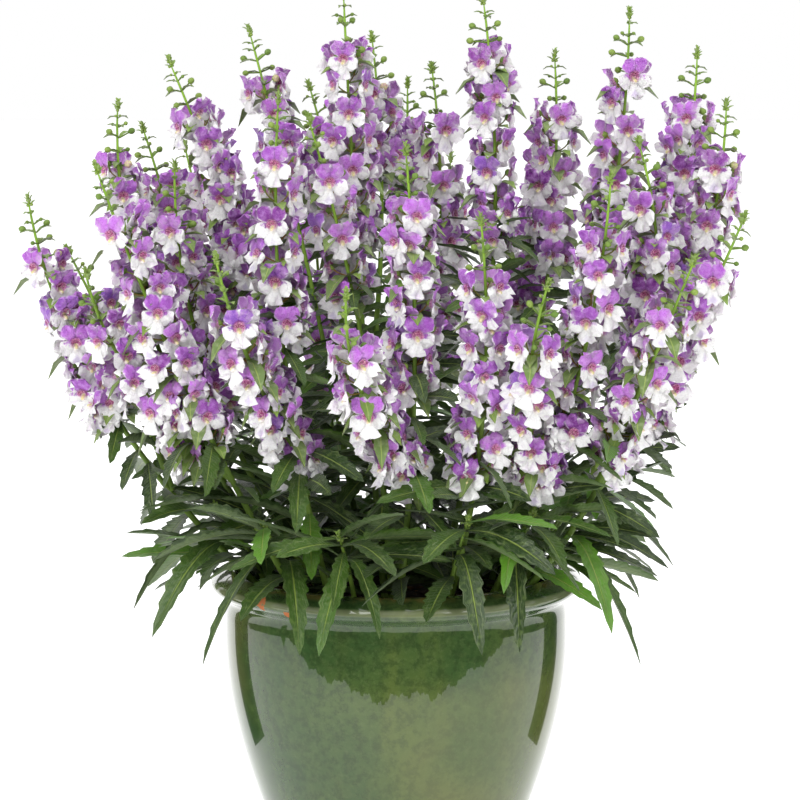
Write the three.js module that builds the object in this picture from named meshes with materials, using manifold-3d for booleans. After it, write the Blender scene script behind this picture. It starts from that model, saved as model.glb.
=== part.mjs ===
// A potted angelonia: a glazed pot with a flared lip, its potting mix, and the flowering stems and
// leafy shoots that stand in it. Millimetres, +Z up, -Y is the front. The origin is the middle of
// the pot's foot.
import * as THREE from "three";
import { mergeVertices } from "three/addons/utils/BufferGeometryUtils.js";
import Module from "manifold-3d";

const wasm = await Module();
wasm.setup();

// The pot.
const POT_HEIGHT = 220;
const FOOT_RADIUS = 70;
const BODY_RADIUS = 115.7;
const BODY_WIDEST_Z = 178;
const BODY_FULLNESS = 1.15;
const NECK_RADIUS = 114.5;
const NECK_Z = 201;
const LIP_RADIUS = 125;
const LIP_Z = 211;
const LIP_TOP_RADIUS = 110;
const WALL = 8;
const FLOOR = 12;
const POT_SIDES = 26;
const DRAIN_HOLES = 3;
const DRAIN_RADIUS = 7;
const DRAIN_SIDES = 8;
const DRAIN_OUT = 36;

// The potting mix, and the hole that each stem stands in.
const SOIL_TOP = 196;
const SOIL_GAP = 1.2;
const SOIL_RADIUS = 104;
const SOIL_CROWN = 2;
const SOIL_BUMP = 1.2;
const SOIL_SIDES = 16;
const ROOT_DEPTH = 14;
const HOLE_GAP = 1.1;
const HOLE_BELOW = 2;
const HOLE_LENGTH = 38;

// The stems. Their courses bend at STEM_STEPS equal steps.
const STEM_STEPS = 5;
const STEM_BASE_RADIUS = 3.0;
const STEM_TIP_RADIUS = 1.4;
const SIDE_STEM_SHARE = 0.9;
const MIDDLE = 0.6;
const FORK = 0.36;
const TUFT_LENGTH = 11;
const TUFT_RADIUS = 2.6;
const TUFT_WIDEST = 0.6;

// Along a stem, measured down from its tip.
const BUD_NODES = [24];
const FIRST_BLOOM = 52;
const BLOOM_PITCH = 18.5;
const FIRST_LEAF = 6;
const LEAF_PITCH = 72;
const SHOOT_LEAF_PITCH = 12;
const LEAF_WINDING = 2.4;
const LOWEST_LEAF = 20;

// A bloom's outline, seen from the front, in shares of its half width: the notch between the two
// upper lobes, then down the left side to the neck of the lower lobe, whose end is BLOOM_LIP. The
// right side mirrors the left one.
const BLOOM_RADIUS = 12.6;
const BLOOM_NOTCH = [0, 0.5];
const BLOOM_SIDE = [
  [-0.58, 0.88],
  [-1.0, -0.42],
  [-0.34, -0.5],
];
const BLOOM_LIP = [0, -1.3];
const BLOOM_CUP = 2;
const BLOOM_DEPTH = 4.6;
const BLOOM_NOD = 0.22;
const CALYX_RADIUS = 1.9;
const PEDICEL = 15;
const SMALLEST_BLOOM = 0.93;
const BLOOM_GROWTH = 0.14;
const PEDICEL_RISE = 0.5;
const BUD_RADIUS = 2.2;
const BUD_LENGTH = 4;
const BUD_PEDICEL = 9;
const BUD_ROOM = 0.6;
const SUNK = 0.4;

// A leaf: the longest and the shortest, its breadth, its teeth and its fold along the rib.
const LEAF_LENGTH = 86;
const SMALL_LEAF_LENGTH = 42;
const LEAF_BREADTH = 0.16;
const LEAF_THICKNESS = 1.3;
const LEAF_FOLD = 0.3;
const LEAF_ARCH = 0.2;
const LIP_ARCH = 0.48;
const LEAF_EDGE = [0.22, 0.48, 0.57, 0.78];
const LEAF_TEETH = [1, 1.08, 0.82, 1.12];
const LEAF_RIB = [0.34, 0.68];
const LEAF_KEEL = 0.4;

// The middle of the plant, which its blooms and leaves turn away from.
const HEART = [0, 60];

// The flowering stems, each with where it stands in the mix and its tips: x, y and z of the tip,
// x and y of the stem at MIDDLE of its rise, and the length of the stretch that is in flower.
// The first tip ends the main stem, and each other one ends a side stem that forks from it.
const STEMS = [
  { root: [-66, -4], tips: [[-242, -20, 470, -204, -18, 88], [-222, 20, 434, -190, 14, 30]] },
  { root: [-52, 24], tips: [[-187, 30, 531, -170, 28, 88], [-175, 72, 515, -150, 62, 60]] },
  { root: [-52, -32], tips: [[-190, -90, 494, -142, -84, 132], [-200, -62, 425, -180, -62, 75]] },
  { root: [-34, -8], tips: [[-146, -10, 492, -130, -12, 100]] },
  { root: [-44, 46], tips: [[-154, 44, 560, -98, 46, 90], [-150, 128, 500, -128, 104, 88]] },
  { root: [-18, 26], tips: [[-102, 88, 581, -62, 66, 60], [-62, 122, 543, -42, 96, 30]] },
  { root: [-36, -52], tips: [[-75, -62, 537, -74, -72, 88], [-112, -132, 440, -98, -116, 104]] },
  { root: [-2, -30], tips: [[-57, -46, 524, -24, -44, 60]] },
  { root: [-6, -2], tips: [[-35, 18, 605, -26, 12, 104], [-17, 80, 577, -10, 60, 30]] },
  { root: [-2, -66], tips: [[6, -92, 506, 12, -96, 88], [-30, -168, 420, -26, -146, 90]] },
  { root: [22, 4], tips: [[58, 30, 602, 66, 24, 104]] },
  { root: [28, -44], tips: [[53, -112, 463, 56, -108, 104]] },
  { root: [10, 46], tips: [[8, 132, 545, 8, 106, 60], [24, 62, 556, 30, 60, 60]] },
  { root: [46, 22], tips: [[108, 62, 564, 104, 58, 75], [118, 150, 520, 100, 120, 88]] },
  { root: [52, -24], tips: [[134, -118, 489, 117, -100, 104], [94, -152, 425, 84, -128, 90]] },
  { root: [62, -2], tips: [[158, 50, 593, 142, 42, 104]] },
  { root: [60, -44], tips: [[155, -62, 509, 164, -68, 104], [186, -128, 438, 164, -112, 90]] },
  { root: [72, 22], tips: [[200, 10, 566, 178, 12, 104], [192, 108, 500, 166, 88, 88]] },
  { root: [66, -16], tips: [[215, -32, 533, 190, -32, 118], [222, -84, 462, 194, -74, 88]] },
  { root: [20, 74], tips: [[40, 200, 490, 32, 160, 104]] },
  { root: [-32, 72], tips: [[-62, 188, 470, -52, 150, 104], [-200, 84, 450, -150, 84, 75]] },
];

// The leafy shoots round the edge of the mix: the bearing of each in degrees, and its tip's height.
// They stand at SHOOT_ROOT from the pot's axis and lean out over the lip.
const SHOOTS = [
  [226, 264],
  [253, 262],
  [292, 272],
  [316, 270],
  [338, 262],
  [193, 266],
  [3, 270],
  [39, 266],
  [95, 264],
  [141, 262],
];
const SHOOT_ROOT = 80;
const SHOOT_MIDDLE = 100;
const SHOOT_TIP = 124;

// Leaves that hang over the lip: the stem or shoot, counted from 0 with the shoots after the stems,
// the height where the leaf leaves it, and its tip.
const LIP_LEAVES = [
  [21, 240, -124, -100, 174],
  [21, 234, -60, -147, 190],
  [22, 242, -10, -142, 200],
  [22, 231, -48, -148, 190],
  [23, 244, 54, -144, 190],
  [24, 244, 78, -136, 190],
  [24, 256, 68, -128, 226],
  [16, 248, 138, -108, 196],
  [16, 240, 158, -88, 172],
  [26, 248, -172, -56, 202],
  [26, 238, -158, -80, 188],
  [27, 250, 184, -30, 226],
  [17, 242, 168, 40, 190],
  [28, 238, 132, 118, 184],
  [29, 242, 24, 168, 192],
  [29, 232, -40, 160, 184],
  [30, 238, -140, 100, 184],
];

// A number from 0 to 1 that depends only on three whole numbers.
function chance(a, b, c) {
  let h = Math.imul(a + 1, 0x9e3779b1) ^ Math.imul(b + 1, 0x85ebca6b) ^ Math.imul(c + 1, 0xc2b2ae35);
  h = Math.imul(h ^ (h >>> 15), 0x2c1b3c6d);
  h = Math.imul(h ^ (h >>> 12), 0x297a2d39);
  return ((h ^ (h >>> 15)) >>> 0) / 4294967296;
}

const vec = (x, y, z) => new THREE.Vector3(x, y, z);
const UP = vec(0, 0, 1);
const BACK = vec(0, 1, 0);
const step = (point, direction, distance) => point.clone().addScaledVector(direction, distance);

// A stem's course from its lower end to its tip: a parabola through the point at MIDDLE of its
// rise, cut into straight lengths.
function course(start, [x, y, z, middleX, middleY]) {
  const end = vec(x, y, z);
  const control = vec(middleX, middleY, start.z + MIDDLE * (z - start.z))
    .addScaledVector(start, -(1 - MIDDLE) * (1 - MIDDLE))
    .addScaledVector(end, -MIDDLE * MIDDLE)
    .divideScalar(2 * MIDDLE * (1 - MIDDLE));
  const points = new THREE.QuadraticBezierCurve3(start, control, end).getPoints(STEM_STEPS);
  const far = [0];
  for (let i = 1; i <= STEM_STEPS; i++) {
    far.push(far[i - 1] + points[i].distanceTo(points[i - 1]));
  }
  return { points, far, length: far[STEM_STEPS] };
}

// The point and the direction of a course at a distance from its lower end.
function placeOn(line, distance) {
  let i = 1;
  while (i < STEM_STEPS && line.far[i] < distance) i++;
  const along = line.points[i].clone().sub(line.points[i - 1]).normalize();
  return { point: step(line.points[i - 1], along, distance - line.far[i - 1]), along };
}

// The distance along a course to where it passes a height.
function distanceAt(line, height) {
  let i = 1;
  while (i < STEM_STEPS && line.points[i].z < height) i++;
  const rise = line.points[i].z - line.points[i - 1].z;
  const share = (height - line.points[i - 1].z) / rise;
  return line.far[i - 1] + share * (line.far[i] - line.far[i - 1]);
}

const stemRadius = (line, distance) =>
  line.thick *
  (STEM_BASE_RADIUS + (STEM_TIP_RADIUS - STEM_BASE_RADIUS) * (distance / line.length));

// Every stem of the plant: a flowering stem with its side stems, or a shoot.
const shoots = SHOOTS.map(([bearing, height]) => {
  const out = [Math.cos((bearing * Math.PI) / 180), Math.sin((bearing * Math.PI) / 180)];
  const [root, middle, tip] = [SHOOT_ROOT, SHOOT_MIDDLE, SHOOT_TIP].map((r) => out.map((u) => u * r));
  return { root, tips: [[...tip, height, ...middle, 0]] };
});
const PLANTS = [...STEMS, ...shoots];
const lines = [];
PLANTS.forEach(({ root, tips }, plant) => {
  const start = vec(root[0], root[1], SOIL_TOP - ROOT_DEPTH);
  const main = { plant, thick: 1, bloom: tips[0][5], ...course(start, tips[0]) };
  lines.push(main);
  for (const tip of tips.slice(1)) {
    const fork = placeOn(main, FORK * main.length).point;
    lines.push({ plant, thick: SIDE_STEM_SHARE, bloom: tip[5], ...course(fork, tip) });
  }
});

// Balls stand for the pieces while they are placed, so that nothing crosses. A ball near the root
// of a piece may meet its own plant, and any other ball has to be clear of all that is there.
const taken = [];
const isFree = (balls, plant) =>
  balls.every(([p, r, near]) =>
    taken.every((t) => (near && t.plant === plant) || p.distanceToSquared(t.p) > (r + t.r) ** 2),
  );
function takeRoom(balls, plant) {
  for (const [p, r] of balls) taken.push({ p, r, plant });
}

// A ball is clear of the pot and the mix when it is above the lip, outside it, or inside it and
// above the mix.
const POT_ROOM = 1.5;
const INSIDE_RADIUS = 100;
const isOffPot = (balls) =>
  balls.every(([p, r]) => {
    const out = Math.hypot(p.x, p.y);
    const isAbove = p.z - r > POT_HEIGHT + POT_ROOM;
    const isOutside = out - r > LIP_RADIUS + POT_ROOM;
    return isAbove || isOutside || (out + r < INSIDE_RADIUS && p.z - r > SOIL_TOP + 2 * SOIL_CROWN);
  });

const BALL_STEP = 5;
const STEM_ROOM = 0.9;
const TUFT_ROOM = 3.4;
lines.forEach((line) => {
  for (let d = 0; d < line.length; d += BALL_STEP) {
    takeRoom([[placeOn(line, d).point, stemRadius(line, d) + STEM_ROOM]], line.plant);
  }
  takeRoom([[placeOn(line, line.length - TUFT_WIDEST * TUFT_LENGTH).point, TUFT_ROOM]], line.plant);
});

// The direction square to the stem that points out at a turn, bent up along the stem.
function reachFrom(along, turn) {
  const out = vec(Math.cos(turn), Math.sin(turn), 0);
  out.addScaledVector(along, -out.dot(along)).normalize();
  return step(out, along, PEDICEL_RISE).normalize();
}
const outwards = (point) => Math.atan2(point.y - HEART[1], point.x - HEART[0]);

// The buds stand in opposite pairs between the tuft and the first blooms.
const buds = [];
lines.forEach((line, number) => {
  if (line.bloom === 0) return;
  BUD_NODES.forEach((below, k) => {
    const distance = line.length - below;
    const { point, along } = placeOn(line, distance);
    for (const side of [0, 1]) {
      const turn = outwards(point) + Math.PI * (0.5 * k + side) + chance(number, k, side + 40);
      const reach = reachFrom(along, turn);
      const middle = step(point, reach, BUD_PEDICEL);
      const balls = [[middle, BUD_RADIUS + BUD_ROOM, false]];
      if (!isFree(balls, line.plant)) continue;
      takeRoom(balls, line.plant);
      buds.push({ plant: line.plant, point, reach, middle, sunk: SUNK * stemRadius(line, distance) });
    }
  });
});

// A bloom at a turn about its stem: it looks out and a little down, and its middle is at the end of
// the pedicel.
function bloomPlace(line, distance, turn, size) {
  const { point, along } = placeOn(line, distance);
  const reach = reachFrom(along, turn);
  const forward = vec(Math.cos(turn), Math.sin(turn), -BLOOM_NOD).normalize();
  const right = UP.clone().cross(forward).normalize();
  const up = forward.clone().cross(right);
  const middle = step(point, reach, PEDICEL * size);
  const foot = step(point, reach, -SUNK * stemRadius(line, distance));
  return { plant: line.plant, middle, foot, point, right, up, forward, size };
}
const onBloom = (place, u, v, w) =>
  place.middle
    .clone()
    .addScaledVector(place.right, u * BLOOM_RADIUS * place.size)
    .addScaledVector(place.up, v * BLOOM_RADIUS * place.size)
    .addScaledVector(place.forward, w);

// The balls of a bloom, in shares of its half width: across, up and the radius.
const BLOOM_BALLS = [
  [0, 0, 0.45],
  [0.34, 0.5, 0.42],
  [-0.34, 0.5, 0.42],
  [0.62, -0.22, 0.42],
  [-0.62, -0.22, 0.42],
  [0, -0.82, 0.48],
];
const PEDICEL_BALLS = [0.35, 0.65];
function bloomBalls(place) {
  const balls = BLOOM_BALLS.map(([u, v, r]) => [onBloom(place, u, v, 0), r * BLOOM_RADIUS * place.size]);
  for (const share of PEDICEL_BALLS) {
    balls.push([place.point.clone().lerp(place.middle, share), CALYX_RADIUS, true]);
  }
  return balls;
}

// The blooms, in pairs down each stem, open away from the heart of the plant. One that would
// cross something turns about its stem until it is clear, and where no turn is clear there is none.
const TURNS = [0, 0.3, -0.3, 0.6, -0.6, 0.9, -0.9, 1.2, -1.2];
const CLOSE_PAIR = 0.55;
const WIDE_PAIR = 1.3;
const BLOOM_WANDER = 0.5;
const blooms = [];
lines.forEach((line, number) => {
  for (let k = 0; k * BLOOM_PITCH < line.bloom; k++) {
    const distance = line.length - FIRST_BLOOM - k * BLOOM_PITCH;
    const open = outwards(placeOn(line, distance).point);
    for (const side of [1, -1]) {
      const spread = side * (k % 2 ? WIDE_PAIR : CLOSE_PAIR);
      const turn = open + spread + BLOOM_WANDER * (chance(number, k, side + 5) - 0.5);
      const size = SMALLEST_BLOOM + BLOOM_GROWTH * chance(number, k, side + 9);
      const place = TURNS.map((more) => bloomPlace(line, distance, turn + more, size)).find(
        (choice) => isFree(bloomBalls(choice), choice.plant) && isOffPot(bloomBalls(choice)),
      );
      if (!place) continue;
      takeRoom(bloomBalls(place), place.plant);
      blooms.push(place);
    }
  }
});

// A leaf arches from its stem to its tip, highest before its middle.
const LEAF_STEPS = 16;
const ARCH_TOP = 0.42;
function leafPlace(line, distance, tip, arch) {
  const { point } = placeOn(line, distance);
  const length = point.distanceTo(tip);
  const top = point.clone().lerp(tip, ARCH_TOP).addScaledVector(UP, arch * length);
  const points = new THREE.QuadraticBezierCurve3(point, top, tip).getPoints(LEAF_STEPS);
  return { plant: line.plant, points, length, sunk: SUNK * stemRadius(line, distance) };
}

// The rib's place at a share of the leaf's length, with the blade's three directions there.
function onLeaf(leaf, share) {
  const i = Math.min(LEAF_STEPS - 1, Math.floor(share * LEAF_STEPS));
  const along = leaf.points[i + 1].clone().sub(leaf.points[i]).normalize();
  const point = leaf.points[i].clone().lerp(leaf.points[i + 1], share * LEAF_STEPS - i);
  const across = along.clone().cross(UP).normalize();
  return { point, along, across, upper: across.clone().cross(along) };
}

// Half the width of a blade: narrow at the stem, broadest past the middle, pointed at the tip.
const LEAF_FORM = [1.2, 0.65];
function leafHalf(share, length) {
  const form = Math.max(0, Math.sin(Math.PI * Math.pow(share, LEAF_FORM[0])));
  return LEAF_BREADTH * 0.5 * length * Math.pow(form, LEAF_FORM[1]);
}

const NEAR_LEAF = 3;
const LEAF_ROOM = 1.4;
const ACROSS_LEAF = [-0.6, 0, 0.6];
function leafBalls(leaf) {
  const balls = [];
  for (let i = 1; i <= LEAF_STEPS; i++) {
    const { point, across } = onLeaf(leaf, i / LEAF_STEPS);
    const half = leafHalf(i / LEAF_STEPS, leaf.length);
    for (const side of ACROSS_LEAF) {
      balls.push([step(point, across, side * half), 0.5 * half + LEAF_ROOM, i <= NEAR_LEAF]);
    }
  }
  return balls;
}

const leaves = [];
function addLeaf(leaf) {
  const balls = leafBalls(leaf);
  const fits = isFree(balls, leaf.plant) && isOffPot(balls);
  if (fits) {
    takeRoom(balls, leaf.plant);
    leaves.push(leaf);
  }
  return fits;
}
LIP_LEAVES.forEach(([plant, height, x, y, z]) => {
  const line = lines.find((l) => l.plant === plant);
  addLeaf(leafPlace(line, distanceAt(line, height), vec(x, y, z), LIP_ARCH));
});

// A leaf's tip stays within a distance of the pot's axis that grows with height.
const SPREAD = 180;
const SPREAD_GROWTH = 0.15;
const isInSpread = (tip) => Math.hypot(tip.x, tip.y) < SPREAD + SPREAD_GROWTH * (tip.z - SOIL_TOP);

// The other leaves wind down the stem from below the blooms and are longer towards the foot.
const LEAF_TURNS = [0, 0.3, -0.3, 0.6, -0.6, 0.9, -0.9];
const LONG_LEAF_REACH = 170;
const LEAF_WANDER = 0.8;
const LEAF_RISE = 0.1;
const LEAF_DROOP = 0.5;
const FIRST_SHOOT_LEAF = 12;
lines.forEach((line, number) => {
  const bare = line.bloom ? FIRST_BLOOM + line.bloom + FIRST_LEAF : FIRST_SHOOT_LEAF;
  const first = line.length - bare;
  const pitch = line.bloom ? LEAF_PITCH : SHOOT_LEAF_PITCH;
  for (let k = 0; first - k * pitch > LOWEST_LEAF; k++) {
    const distance = first - k * pitch;
    const { point } = placeOn(line, distance);
    const low = 1 - Math.min(1, Math.max(0, (point.z - POT_HEIGHT) / LONG_LEAF_REACH));
    const long = SMALL_LEAF_LENGTH + (LEAF_LENGTH - SMALL_LEAF_LENGTH) * low;
    const turn = outwards(point) + LEAF_WINDING * k + LEAF_WANDER * (chance(number, k, 20) - 0.5);
    const rise = LEAF_RISE - LEAF_DROOP * chance(number, k, 30);
    LEAF_TURNS.some((more) => {
      const reach = vec(Math.cos(turn + more), Math.sin(turn + more), rise).normalize();
      const tip = step(point, reach, long);
      return isInSpread(tip) && addLeaf(leafPlace(line, distance, tip, LEAF_ARCH));
    });
  }
});

// A solid from a closed geometry.
function solidOf(geometry) {
  geometry.deleteAttribute("normal");
  geometry.deleteAttribute("uv");
  const merged = mergeVertices(geometry, 1e-4);
  const vertProperties = merged.attributes.position.array;
  const triVerts = new Uint32Array(merged.index.array);
  return new wasm.Manifold(new wasm.Mesh({ numProp: 3, vertProperties, triVerts }));
}

function solidFrom(vertices, triangles) {
  return solidOf(new THREE.BufferGeometry().setFromPoints(vertices).setIndex(triangles.flat()));
}

// A geometry from a solid. The ends of an edge shorter than WELD become one vertex.
const WELD = 0.03;
function geometryOf(solid) {
  const { vertProperties, triVerts } = solid.getMesh();
  const position = new THREE.BufferAttribute(vertProperties, 3);
  const points = Array.from({ length: position.count }, (_, i) => vec().fromBufferAttribute(position, i));
  const same = points.map((_, i) => i);
  const rootOf = (i) => (same[i] === i ? i : rootOf(same[i]));
  const triangles = [];
  for (let t = 0; t < triVerts.length; t += 3) triangles.push([...triVerts.slice(t, t + 3)]);
  for (const [a, b, c] of triangles) {
    for (const [i, j] of [[a, b], [b, c], [c, a]]) {
      if (points[i].distanceTo(points[j]) < WELD) same[rootOf(j)] = rootOf(i);
    }
  }
  const welded = triangles
    .map((corners) => corners.map(rootOf))
    .filter(([a, b, c]) => a !== b && b !== c && c !== a);
  return new THREE.BufferGeometry().setFromPoints(points).setIndex(welded.flat());
}

// A closed skin through rings that all have as many points, from a first point to a last one.
function skin(firstPoint, rings, lastPoint) {
  const n = rings[0].length;
  const vertices = [firstPoint, ...rings.flat(), lastPoint];
  const last = vertices.length - 1;
  const triangles = [];
  for (let i = 0; i < n; i++) {
    const j = (i + 1) % n;
    triangles.push([0, 1 + j, 1 + i], [last, last - n + i, last - n + j]);
    for (let k = 0; k + 1 < rings.length; k++) {
      const [a, b] = [1 + k * n + i, 1 + k * n + j];
      triangles.push([a, b, b + n], [a, b + n, a + n]);
    }
  }
  return solidFrom(vertices, triangles);
}

// Three points about a place. The first one lies square to the direction and to the given side.
const RING_POINTS = 3;
function ringAbout(point, along, side, radius) {
  const a = along.clone().cross(side).normalize();
  const b = along.clone().cross(a);
  return Array.from({ length: RING_POINTS }, (_, i) => {
    const turn = (2 * Math.PI * i) / RING_POINTS;
    return step(step(point, a, radius * Math.cos(turn)), b, radius * Math.sin(turn));
  });
}

// A stem: a three-sided tube that tapers up to the tight tuft of bracts at its tip.
const ROOT_POINT = 1;
function stemSolid(line) {
  const rings = line.points.slice(0, STEM_STEPS).map((point, i) => {
    const { along } = placeOn(line, line.far[i] + 1);
    return ringAbout(point, along, BACK, stemRadius(line, line.far[i]));
  });
  for (const [back, radius] of [[TUFT_LENGTH, STEM_TIP_RADIUS], [TUFT_LENGTH * TUFT_WIDEST, TUFT_RADIUS]]) {
    const { point, along } = placeOn(line, line.length - back);
    rings.push(ringAbout(point, along, BACK, radius));
  }
  const { point, along } = placeOn(line, 0);
  return skin(step(point, along, -ROOT_POINT), rings, line.points[STEM_STEPS]);
}

// A bloom: a cupped face with its five lobes, on a calyx and a pedicel that ends in the stem.
function bloomSolid(place) {
  const mirrored = BLOOM_SIDE.map(([u, v]) => [-u, v]).reverse();
  const outline = [BLOOM_NOTCH, ...BLOOM_SIDE, BLOOM_LIP, ...mirrored];
  const n = outline.length;
  const calyx = [
    [0, 1],
    [-0.87, -0.5],
    [0.87, -0.5],
  ].map(([u, v]) => {
    const share = CALYX_RADIUS / BLOOM_RADIUS;
    return onBloom(place, u * share, v * share, -BLOOM_DEPTH);
  });
  const rim = outline.map(([u, v]) => onBloom(place, u, v, 0));
  const vertices = [...rim, onBloom(place, 0, -0.05, -BLOOM_CUP), ...calyx, place.foot];
  const corner = outline.map(([u, v]) => n + 1 + (v > 0.4 ? 0 : u < 0 ? 1 : 2));
  const triangles = [];
  for (let i = 0; i < n; i++) {
    const j = (i + 1) % n;
    triangles.push([i, j, n], [j, i, corner[i]]);
    if (corner[i] !== corner[j]) {
      triangles.push([j, corner[i], corner[j]], [corner[j], corner[i], n + 4]);
    }
  }
  return solidFrom(vertices, triangles);
}

// A bud: a three-sided drop on its pedicel.
function budSolid(bud) {
  const ring = ringAbout(bud.middle, bud.reach, UP, BUD_RADIUS);
  return skin(step(bud.point, bud.reach, -bud.sunk), [ring], step(bud.middle, bud.reach, BUD_LENGTH));
}

// A leaf: an arched blade, folded up along its rib, thick at the rib and toothed along its edges.
function leafSolid(leaf) {
  const edge = (side) =>
    LEAF_EDGE.map((share, i) => {
      const { point, across, upper } = onLeaf(leaf, share);
      const half = leafHalf(share, leaf.length) * LEAF_TEETH[i];
      return step(step(point, across, side * half), upper, LEAF_FOLD * half);
    });
  const { point, along, upper } = onLeaf(leaf, 0);
  const root = step(point, along, -leaf.sunk);
  const rim = [root, ...edge(1), leaf.points[LEAF_STEPS], ...edge(-1).reverse()];
  const n = rim.length;
  const turnRight = Math.ceil(LEAF_EDGE.length / 2);
  const turnLeft = n - turnRight;
  const [nearRib, farRib] = LEAF_RIB.map((share) => onLeaf(leaf, share));
  const rib = [nearRib.point, farRib.point];
  const under = [
    step(root.clone().lerp(nearRib.point, LEAF_KEEL), upper, -LEAF_THICKNESS),
    step(farRib.point, farRib.upper, -LEAF_THICKNESS),
  ];
  const triangles = [];
  for (const [first, low] of [[n, false], [n + 2, true]]) {
    const put = (a, b, c) => triangles.push(low ? [a, c, b] : [a, b, c]);
    for (let i = 0; i < n; i++) {
      const isFar = i >= turnRight && i < turnLeft;
      put(i, (i + 1) % n, isFar ? first + 1 : first);
    }
    put(turnRight, first + 1, first);
    put(turnLeft, first, first + 1);
  }
  return solidFrom([...rim, ...rib, ...under], triangles);
}

// The pot's outer wall swells from the foot as a quarter wave and is widest below the neck.
const bodyRadius = (z) =>
  FOOT_RADIUS +
  (BODY_RADIUS - FOOT_RADIUS) * Math.pow(Math.sin((Math.PI / 2) * (z / BODY_WIDEST_Z)), BODY_FULLNESS);
const OUTER_HEIGHTS = [0, 20, 46, 74, 106, 142, BODY_WIDEST_Z];
const INNER_HEIGHTS = [56, 100, 150];
const SOIL_HEIGHTS = [56, 100];
const point2 = (r, z) => new THREE.Vector2(r, z);

function potSolid() {
  const profile = [
    point2(0, 0),
    ...OUTER_HEIGHTS.map((z) => point2(bodyRadius(z), z)),
    point2(NECK_RADIUS, NECK_Z),
    point2(LIP_RADIUS - 3.5, NECK_Z + 4.5),
    point2(LIP_RADIUS, LIP_Z),
    point2(LIP_RADIUS - 3, LIP_Z + 4.5),
    point2(LIP_TOP_RADIUS + 1, POT_HEIGHT),
    point2(LIP_TOP_RADIUS - 2, POT_HEIGHT - 2),
    ...INNER_HEIGHTS.map((z) => point2(bodyRadius(z) - WALL, z)).reverse(),
    point2(bodyRadius(FLOOR) - WALL, FLOOR),
    point2(0, FLOOR),
  ];
  const pot = solidOf(new THREE.LatheGeometry(profile, POT_SIDES).rotateX(Math.PI / 2));
  return Array.from({ length: DRAIN_HOLES }).reduce((cut, _, i) => {
    const hole = new THREE.CylinderGeometry(DRAIN_RADIUS, DRAIN_RADIUS, 3 * FLOOR, DRAIN_SIDES);
    const bearing = (2 * Math.PI * (i + 0.5)) / DRAIN_HOLES;
    hole.rotateX(Math.PI / 2).translate(DRAIN_OUT * Math.cos(bearing), DRAIN_OUT * Math.sin(bearing), 0);
    return cut.subtract(solidOf(hole));
  }, pot);
}

// The potting mix fills the pot from its floor. Its top is gently bumpy, with a hole for each stem.
function mixSolid() {
  const profile = [
    point2(0, FLOOR + SOIL_GAP),
    point2(bodyRadius(FLOOR) - WALL - SOIL_GAP, FLOOR + SOIL_GAP),
    ...SOIL_HEIGHTS.map((z) => point2(Math.min(SOIL_RADIUS, bodyRadius(z) - WALL - SOIL_GAP), z)),
    point2(SOIL_RADIUS, SOIL_TOP - 4),
    point2(SOIL_RADIUS * 0.93, SOIL_TOP),
    point2(SOIL_RADIUS * 0.5, SOIL_TOP + SOIL_CROWN * 0.7),
    point2(0, SOIL_TOP + SOIL_CROWN),
  ];
  const geometry = new THREE.LatheGeometry(profile, SOIL_SIDES).rotateX(Math.PI / 2);
  const position = geometry.attributes.position;
  for (let i = 0; i < position.count; i++) {
    const [x, y, z] = [position.getX(i), position.getY(i), position.getZ(i)];
    if (z >= SOIL_TOP - 0.1) position.setZ(i, z + SOIL_BUMP * Math.sin(0.09 * x) * Math.cos(0.11 * y));
  }
  const mains = PLANTS.map((_, plant) => lines.find((line) => line.plant === plant));
  return mains.reduce((mix, line) => {
    const { point, along } = placeOn(line, 0);
    const ring = (distance) =>
      ringAbout(step(point, along, distance), along, BACK, STEM_BASE_RADIUS + HOLE_GAP);
    const rings = [ring(-HOLE_BELOW), ring(HOLE_LENGTH)];
    const hole = skin(step(point, along, -HOLE_BELOW - 1), rings, step(point, along, HOLE_LENGTH + 1));
    return mix.subtract(hole);
  }, solidOf(geometry));
}

const group = new THREE.Group();
function addMesh(name, geometry, color, roughness) {
  const material = new THREE.MeshStandardMaterial({ color, roughness, metalness: 0 });
  const mesh = new THREE.Mesh(geometry, material);
  mesh.name = name;
  group.add(mesh);
}

addMesh("pot", geometryOf(potSolid()), 0x3f5f3c, 0.15);
addMesh("potting_mix", geometryOf(mixSolid()), 0x3a2c20, 0.95);
PLANTS.forEach((_, plant) => {
  const own = (list) => list.filter((item) => item.plant === plant);
  const solid = [
    ...own(lines).map(stemSolid),
    ...own(leaves).map(leafSolid),
    ...own(buds).map(budSolid),
    ...own(blooms).map(bloomSolid),
  ].reduce((sum, piece) => sum.add(piece));
  const flowers = plant < STEMS.length;
  const name = flowers ? `flower_stem_${plant + 1}` : `leafy_shoot_${plant + 1 - STEMS.length}`;
  addMesh(name, geometryOf(solid), flowers ? 0x6c56a6 : 0x4a7233, 0.55);
});

export default group;
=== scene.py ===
"""A potted angelonia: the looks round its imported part. Sizes of the plant and the pot are in millimetres until
they go into a mesh, +Z up, -Y the front. The plant grows here by the same rule as its solids, so each finer
stem, leaf, bud and floret is where its solid is, and more of them grow where there is room."""

import math

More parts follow.
